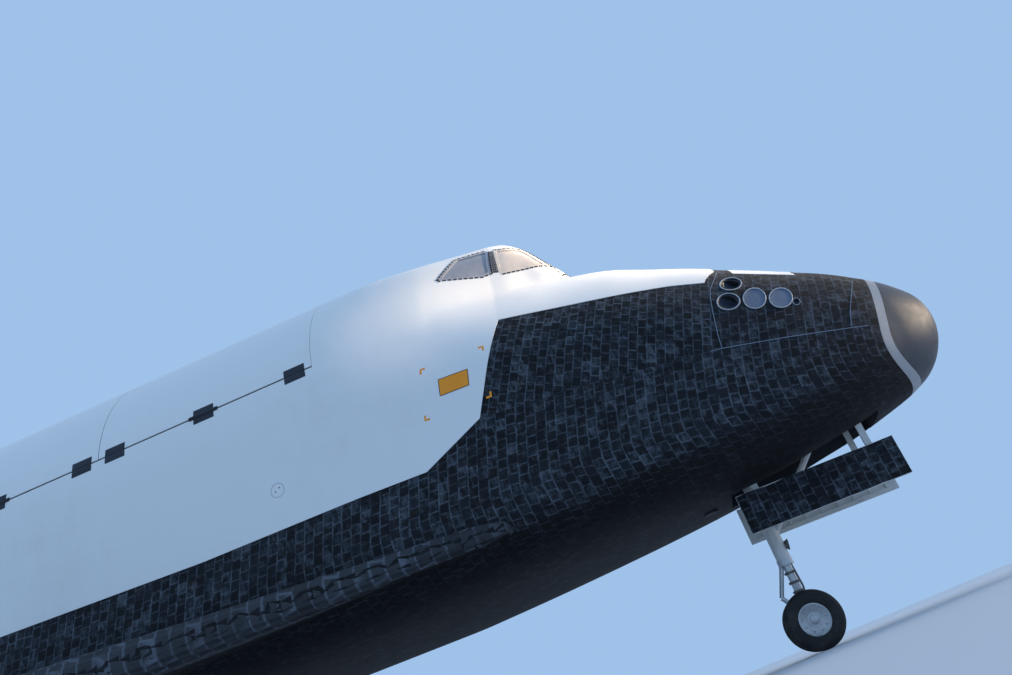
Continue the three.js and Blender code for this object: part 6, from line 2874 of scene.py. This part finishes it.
@dataclass
class Engines:
    """Stiffening bands, manifolds, feed pipes and tube walls of the five engines.

    Args:
        bands: Where the bands are, as shares of the bell's length.
        tubes: How many tubes the inner wall has.
    """

    bands: tuple[float, ...] = (0.24, 0.36, 0.47, 0.57, 0.67, 0.76, 0.85, 0.93)
    tubes: int = 90

    def _bands(self, name: str, bell: Bell) -> Piece:
        """Rings round the bell, and its lip."""
        wide = bell.wall * 0.55
        rings = []
        for share in (*self.bands, 1.0):
            reach = bell.radius(share) + bell.wall - 4
            at = bell.along(share)
            size = wide * (1.5 if share == 1.0 else 1.0)
            foot = reach - bell.wall * 0.45
            top = reach + size
            corners = ((foot, -1), (top, -0.6), (top, 0.2), (foot, 0.4))
            rings.append(turned("band", [(radius, at + size * up) for radius, up in corners], 64))
        return bell.placed(join(name + "_bands", rings))

    def _manifold(self, name: str, bell: Bell) -> Piece:
        """The coolant manifold and the pipes to it."""
        tube = bell.exit * 0.055
        reach = bell.radius(0.1) + bell.wall + tube * 0.7
        at = bell.along(0.1)
        turns = np.linspace(0, math.tau, 13)[:-1]
        outline = [(reach + tube * math.cos(t), at + tube * math.sin(t)) for t in turns]
        parts = [turned("manifold", outline, 64)]
        for n in range(3):
            angle = math.tau * n / 3 + 0.5
            foot = Vector((math.cos(angle), math.sin(angle), 0)) * reach * MM + Vector((0, 0, at * MM))
            mouth = Vector((math.cos(angle + 0.4), math.sin(angle + 0.4), 0)) * bell.exit * 0.5 * MM
            mouth += Vector((0, 0, (bell.start + 6) * MM))
            parts.append(bar("feed", foot, mouth, tube * 0.85, sides=16))
        return bell.placed(join(name + "_manifold", parts))

    def _lining(self, name: str, bell: Bell) -> Piece:
        """The tube wall inside the bell, with the injector at its end."""
        shares = np.linspace(0.0, 0.985, 16)
        inner = [(bell.radius(share) - 3, bell.along(share)) for share in shares]
        outer = [(radius + 6, at) for radius, at in inner]
        outline = [(1, bell.along(0) + 14), *inner, *outer[::-1], (1, bell.along(0) + 4)]
        piece = turned(name + "_tubes", outline, self.tubes * 2)
        points = points_of(piece)
        reach = np.hypot(points[:, 0], points[:, 1])
        angle = np.arctan2(points[:, 1], points[:, 0])
        wave = np.cos(angle * self.tubes) * np.minimum(3.0, reach / MM * 0.008) * MM
        scale = 1 + np.where(reach > 0.02, (wave - 0.003) / np.maximum(reach, 0.02), 0)
        points[:, :2] *= scale[:, None]
        set_points(piece, points)
        return bell.placed(piece)

    def build(self, finishes: Finishes) -> list[Piece]:
        """Build and dress the fittings."""
        made = []
        for name, bell in BELLS.items():
            made.append(dress(self._bands(name, bell), finishes.steel_dark, "engine_bell"))
            made.append(dress(self._manifold(name, bell), finishes.steel_dark, "engine_bell"))
            made.append(dress(self._lining(name, bell), finishes.bell, "engine_bell"))
        return made


@dataclass(frozen=True)
class WheelSize:
    """The sizes of a pair of wheels.

    Args:
        station: The axle's station.
        radius: The tyres' radius.
        width: Their width.
        spread: How far each wheel is from the leg.
        rim: The rim's radius.
        side: The leg's distance from the middle.
        bolts: How many bolts each wheel has.
    """

    station: float
    radius: float
    width: float
    spread: float
    rim: float
    side: float
    bolts: int

    def height(self) -> float:
        """The axle's height, at which the tyres stand on the floor."""
        rise = self.rolling() - STANCE.belly - self.station * math.sin(STANCE.tilt)
        return rise / math.cos(STANCE.tilt)

    def rolling(self) -> float:
        """The radius of a round tyre that just stands on the floor."""
        return self.radius * math.cos(math.pi / 24)


NOSE_WHEEL = WheelSize(3581, 406, 224, 280, 205, 0, 9)
MAIN_WHEEL = WheelSize(23774, 565, 406, 430, 290, 3454, 12)


@dataclass
class LandingGear:
    """Round tyres with grooves, bolted hubs, brakes, hoses and the skins of the gear doors.

    Args:
        shoulder: A tyre's side: shares of the way from rim to tread, and of half the width.
        grooves: Where the grooves are, as shares of half the width.
        hub: The turned parts of a hub. Each corner is a share of the rim's radius, the millimetres added to
            it, and a share of half the width.
        brake: The outline of a brake: radius and height over its foot.
    """

    shoulder: tuple[tuple[float, float], ...] = (
        (0.0, 0.78), (0.1, 0.88), (0.26, 0.96), (0.42, 0.985),
        (0.6, 0.95), (0.76, 0.86), (0.88, 0.74), (0.96, 0.58),
    )
    grooves: tuple[float, ...] = (0.36, 0.12, -0.12, -0.36)
    hub: tuple[tuple[str, int, tuple[tuple[float, float, float], ...]], ...] = (
        ("flange", 48, ((1, -4, 0.72), (1, 12, 0.78), (1, 12, 0.86), (1, -4, 0.86))),
        ("cap", 32, ((0, 0, 0.74), (0.2, 0, 0.72), (0.3, 0, 0.62), (0.32, 0, 0.48), (0, 0, 0.48))),
        ("ring", 48, ((0.44, 0, 0.48), (0.44, 0, 0.54), (0.5, 0, 0.54), (0.5, 0, 0.48))),
    )
    brake: tuple[tuple[float, float], ...] = (
        (132, 0), (236, 0), (240, 14), (226, 22), (240, 30),
        (240, 50), (226, 58), (240, 66), (240, 84), (132, 84),
    )

    def _tyre(self, name: str, size: WheelSize, at: Vector) -> Piece:
        """A round tyre with grooves."""
        half = size.width / 2
        reach = size.rolling()
        side = [(size.rim + (reach - size.rim) * up, half * out) for up, out in self.shoulder]
        tread = []
        for groove in self.grooves:
            for sink, out in ((0, 6), (9, 4), (9, -4), (0, -6)):
                tread.append((reach - sink, half * groove + out))
        outline = [*side, (reach - 1, half * 0.44), *tread, (reach - 1, -half * 0.44)]
        outline += [(radius, -out) for radius, out in reversed(side)]
        return aim(smooth(turned(name, outline, 72), 35), at, Vector((0, 1, 0)))

    def _hub(self, name: str, size: WheelSize, at: Vector, outward: float) -> Piece:
        """The bolts, the cap and the flange of one wheel, on its outer face."""
        half = size.width / 2
        rim = size.rim
        parts = []
        for part, steps, outline in self.hub:
            corners = [(rim * share + more, half * up) for share, more, up in outline]
            parts.append(turned(part, corners, steps))
        for n in range(size.bolts):
            angle = math.tau * n / size.bolts
            reach = rim * 0.74 * MM
            foot = Vector((math.cos(angle) * reach, math.sin(angle) * reach, half * 0.6 * MM))
            parts.append(bar("bolt", foot, foot + Vector((0, 0, 0.03)), rim * 0.06, sides=6))
        return aim(smooth(join(name, parts), 35), at, Vector((0, outward, 0)))

    def _wheels(self, finishes: Finishes) -> list[Piece]:
        """The tyres and hubs of all wheels."""
        rows = [("nose_tyre_" + side.label, NOSE_WHEEL, 0, side.value, "nose_wheels") for side in Side]
        for side in Side:
            leg = MAIN_WHEEL.side * side.value
            body = "main_wheels_" + side.label
            rows.append(("main_tyre_outer_" + side.label, MAIN_WHEEL, leg, side.value, body))
            rows.append(("main_tyre_inner_" + side.label, MAIN_WHEEL, leg, -side.value, body))
        made = []
        for node, size, leg, outward, body in rows:
            at = STANCE.point(size.station, leg + outward * size.spread, size.height())
            tyre = self._tyre(node + "_round", size, at)
            dress(tyre, finishes.rubber, "tyre_rubber", body)
            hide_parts(node)
            hub = self._hub(node.replace("tyre", "hub"), size, at, outward)
            made += [tyre, dress(hub, finishes.wheel, "wheel_aluminium", body)]
        return made

    def _fittings(self, name: str, size: WheelSize, ups: Sequence[float], shaft: float, top: float) -> Piece:
        """Collars and hoses on a starboard or middle leg.

        Args:
            name: The piece's name.
            size: The leg's wheels.
            ups: The collars' heights over the axle.
            shaft: The leg's radius there.
            top: The height over the axle at which the hoses begin.

        Returns:
            The fittings.
        """
        low = size.height()
        leg = -size.side
        parts = []
        for up in ups:
            outline = [(-4, -16), (20, -16), (25, -10), (25, 10), (20, 16), (-4, 16)]
            ring = turned("collar", [(shaft + out, height) for out, height in outline], 32)
            parts.append(aim(ring, STANCE.point(size.station, leg, low + up), STANCE.way(0, 0, 1)))
        reach = shaft + 34
        for across in (0.72, -0.72):
            hose = [
                (size.station - reach * 0.7, leg + reach * across, low + top),
                (size.station - reach * 0.9, leg + reach * across, low + top * 0.6),
                (size.station - reach * 0.6, leg + reach * across * 1.3, low + top * 0.36),
                (size.station - reach * 0.8, leg + reach * across * 1.5, low + 110),
            ]
            parts.append(pipe("hose", hose, shaft * 0.14))
        return smooth(join(name, parts), 40)

    def _brakes(self, name: str) -> Piece:
        """The brakes beside the starboard main leg."""
        discs = []
        for across in (1, -1):
            disc = turned("brake", self.brake)
            at = STANCE.point(MAIN_WHEEL.station, across * 196 - MAIN_WHEEL.side, MAIN_WHEEL.height())
            discs.append(aim(disc, at, Vector((0, across, 0))))
        return smooth(join(name, discs), 40)

    def _lamp(self) -> Piece:
        """The landing light on the nose leg."""
        outline = [(0, 0), (52, 0), (70, 40), (78, 44), (78, 60), (66, 60), (60, 48), (0, 44)]
        lamp = smooth(turned("landing_light", outline, 32), 40)
        at = STANCE.point(NOSE_WHEEL.station - 98, 0, NOSE_WHEEL.height() + 1080)
        return aim(lamp, at, STANCE.way(-1, 0, -0.15))

    @staticmethod
    def _door(
        name: str,
        side: float,
        span: tuple[float, float],
        heights: tuple[float, float],
        out: float,
    ) -> tuple[TileBlanket, Piece]:
        """Tiles on the outer face of a starboard door and ribs on its inner face.

        Args:
            name: The door's name.
            side: The distance of its outer face from the middle.
            span: Its first and last station.
            heights: Its lower and upper edge.
            out: 1 if the outer face looks away from the middle, and otherwise -1.

        Returns:
            The tiles and the ribs.
        """
        lines = []
        for station in np.linspace(span[0] + 2, span[1] - 2, round((span[1] - span[0]) / 150) + 1):
            ends = np.array([(station, -side - out * 1.5, height) for height in heights])
            lines.append(Ring(ends, np.array([0.0, heights[1] - heights[0]])))
        lines = Tracks(tuple(lines))
        outward = facing((0.0, -out, 0.0))
        tiles = TileBlanket(name + "_tiles", lines, KEEL, CROWN, KEEL, 31, thick=6, outward=outward)
        inner = -side + out * 60
        near, far = sorted((inner - out * 4, inner + out * 26))
        ribs = [
            fitted("rib", (station - 20, near, heights[0] + 50), (station + 20, far, heights[1] - 110))
            for station in np.linspace(span[0] + 160, span[1] - 160, 9)
        ]
        for height in np.linspace(heights[0] + 50, heights[1] - 130, 3):
            ribs.append(fitted("rail", (span[0] + 120, near, height - 18), (span[1] - 120, far, height + 18)))
        return tiles, join(name + "_ribs", ribs)

    def build(self, finishes: Finishes) -> list[Piece]:
        """Build and dress the gear."""
        made = self._wheels(finishes)
        nose = self._fittings("nose_leg_fittings", NOSE_WHEEL, (430, 560, 700), 62, 800)
        made.append(dress(nose, finishes.steel_dark, "gear_steel", "nose_gear_fork"))
        made.append(dress(self._lamp(), finishes.steel_dark, "gear_steel"))
        leg = self._fittings("main_leg_fittings_starboard", MAIN_WHEEL, (330, 460, 620), 105, 1500)
        for piece in (leg, self._brakes("main_brakes_starboard")):
            made += mirrored(dress(piece, finishes.steel_dark, "gear_steel"))
        nose_door = self._door("nose_door_starboard", 580, (1530, 3870), (-410, 150), 1)
        main_door = self._door("main_door_starboard", 2740, (20330, 24270), (-1500, -20), -1)
        for tiles, ribs in (nose_door, main_door):
            made += tiles.both(finishes)
            made += mirrored(dress(ribs, finishes.white_gear, "white_tile"))
        return made


@dataclass
class Studio:
    """The floor, the lights and the camera.

    Args:
        eye: Where the camera is.
        lens: Its focal length.
        sensor: The width of its sensor.
        right: Its direction to the right.
        ahead: The direction it looks in.
        sky: The colour of the light from all round.
        patches: What the small warm lamps point at, and their power.
        patch_lamp: Where these lamps are.
    """

    eye: Vector = Vector((13.5755, -13.0374, 0.12))
    lens: float = 29.68
    sensor: float = 36
    right: Vector = Vector((0.9005, 0.2603, -0.3484))
    ahead: Vector = Vector((-0.0908, 0.8960, 0.4346))
    sky: Colour = (0.38, 0.585, 0.89)
    patch_lamp: Vector = Vector((24, -30, 13))
    patches: tuple[tuple[Vector, float], ...] = (
        (Vector((11.0, -2.0, 6.3)), 6200),
        (Vector((12.6, -1.8, 6.2)), 8200),
        (Vector((14.0, -1.6, 6.1)), 6400),
    )

    def _camera(self) -> None:
        """Place the camera at the photograph's angle."""
        camera = bpy.data.objects.new("camera", bpy.data.cameras.new("camera"))
        bpy.context.scene.collection.objects.link(camera)
        camera.data.sensor_width = self.sensor
        camera.data.lens = self.lens
        camera.data.clip_end = 500
        across = self.right.normalized()
        back = -self.ahead.normalized()
        up = back.cross(across).normalized()
        turn = Matrix((across, up, back)).transposed().to_4x4()
        camera.matrix_world = Matrix.Translation(self.eye) @ turn
        bpy.context.scene.camera = camera

    def _lamp(
        self,
        name: str,
        kind: str,
        place: Vector,
        aim: Vector,
        power: float,
        size: float,
        colour: Colour,
        cone: float = 10.0,
    ) -> None:
        """Add a soft lamp.

        Args:
            name: Its name.
            kind: AREA, SPOT or SUN.
            place: Where it is.
            aim: What it points at.
            power: Its power.
            size: Its width, or for a sun its angle.
            colour: Its colour.
            cone: The width of a spot's cone in degrees.
        """
        light = bpy.data.lights.new(name, kind)
        light.energy = power
        light.color = colour
        settings = {
            "AREA": {"shape": "DISK", "size": size},
            "SPOT": {"shadow_soft_size": size, "spot_size": math.radians(cone), "spot_blend": 0.7},
            "SUN": {"angle": size},
        }
        for setting, value in settings[kind].items():
            setattr(light, setting, value)
        lamp = bpy.data.objects.new(name, light)
        lamp.location = place
        lamp.rotation_euler = (aim - place).to_track_quat("-Z", "Y").to_euler()
        bpy.context.scene.collection.objects.link(lamp)

    def _floor(self) -> None:
        """Lay the pale floor."""
        deselect()
        bpy.ops.mesh.primitive_circle_add(vertices=96, radius=220, fill_type="NGON")
        floor = bpy.context.object
        floor.name = "floor"
        b = Bench("floor_paint")
        cloud = b.noise(0.15, 3)
        colour = b.mix(srgb(214, 216, 219), srgb(206, 208, 212), cloud)
        floor.data.materials.append(b.finish(colour, 0.75))

    def build(self) -> None:
        """Set up everything."""
        self._camera()
        self._floor()
        world = bpy.data.worlds.new("world")
        world.use_nodes = True
        background = world.node_tree.nodes["Background"]
        background.inputs["Color"].default_value = (*self.sky, 1)
        background.inputs["Strength"].default_value = 0.92
        bpy.context.scene.world = world
        self._lamp("key", "SUN", Vector((30, 60, 80)), Vector((0, 0, 0)), 0.5, 0.4, (1.0, 0.86, 0.7))
        cockpit = Vector((9.9, 0, 7.15))
        low_sun = Vector((0.963, 0.24, 0.12))
        self._lamp("warm", "SPOT", cockpit + low_sun * 60, cockpit, 540000, 3.0, (1.0, 0.76, 0.48), 8.6)
        for number, (spot, power) in enumerate(self.patches, 1):
            look = (power, 0.4, (1.0, 0.8, 0.6), 4.4)
            self._lamp(f"patch_{number}", "SPOT", self.patch_lamp, spot, *look)
        self._lamp("glow", "AREA", Vector((48, 9, 9)), Vector((17, 0, 3.5)), 1000, 11.0, (1.0, 0.82, 0.62))
        view = bpy.context.scene.view_settings
        view.view_transform = "Standard"
        view.look = "None"


def dress_nodes(finishes: Finishes) -> None:
    """Give every solid of the frame its finish.

    Args:
        finishes: The craft's finishes.
    """
    rules = [
        ("nose_cap_band", finishes.band),
        ("nose_cap", finishes.cap),
        # The solids under the skins get the dark grey of painted gap shade.
        ("forward_thruster_module", finishes.gap_shade_grey),
        # The side and overhead panes take the finish with painted shade, the windshields the one with painted
        # sunlight.
        ("side_window", finishes.side_pane),
        ("windshield", finishes.front_pane),
        ("overhead", finishes.side_pane),
        ("forward_fuselage", finishes.gap_shade_grey),
        ("crew_hatch", finishes.skin),
        ("mid_fuselage", finishes.gap_shade_grey),
        ("bay_door", finishes.gap_shade_grey),
        ("aft_fuselage", finishes.gap_shade_grey),
        ("base_heat_shield", finishes.shield),
        ("main_engine", finishes.bell),
        ("pod_engine", finishes.bell),
        ("pod_", finishes.skin),
        ("fin", finishes.fin),
        ("rudder_hinge_spine", finishes.dark_metal),
        ("rudder_panel", finishes.fin),
        ("body_flap", finishes.flap),
        ("wing_edge", finishes.edge),
        ("wing_", finishes.wing),
        ("elevon", finishes.wing),
        ("tyre", finishes.rubber),
        ("wheels", finishes.wheel),
        ("gear_leg", finishes.white_gear),
        ("gear_fork", finishes.steel),
        ("gear_door", finishes.white_gear),
    ]
    for name, node in frame["nodes"].items():
        material = next(each for word, each in rules if word in name)
        if not node.material_slots:
            node.data.materials.append(None)
        for slot in node.material_slots:
            slot.material = material


def main() -> None:
    """Build the craft piece by piece."""
    logging.basicConfig(level=logging.INFO, format="%(message)s")
    finishes = Finishes()
    dress_nodes(finishes)
    assemblies = (
        NoseCap(),
        Fuselage(),
        ThrusterModule(),
        Cockpit(),
        CrewHatch(),
        HingeCovers(),
        Markings(),
        PayloadBay(),
        Wings(),
        Engines(),
        LandingGear(),
    )
    for assembly in assemblies:
        for piece in assembly.build(finishes):
            LOG.info("%s: %d faces", piece.name, len(piece.data.polygons))
    Studio().build()


if __name__ == "__main__":
    main()
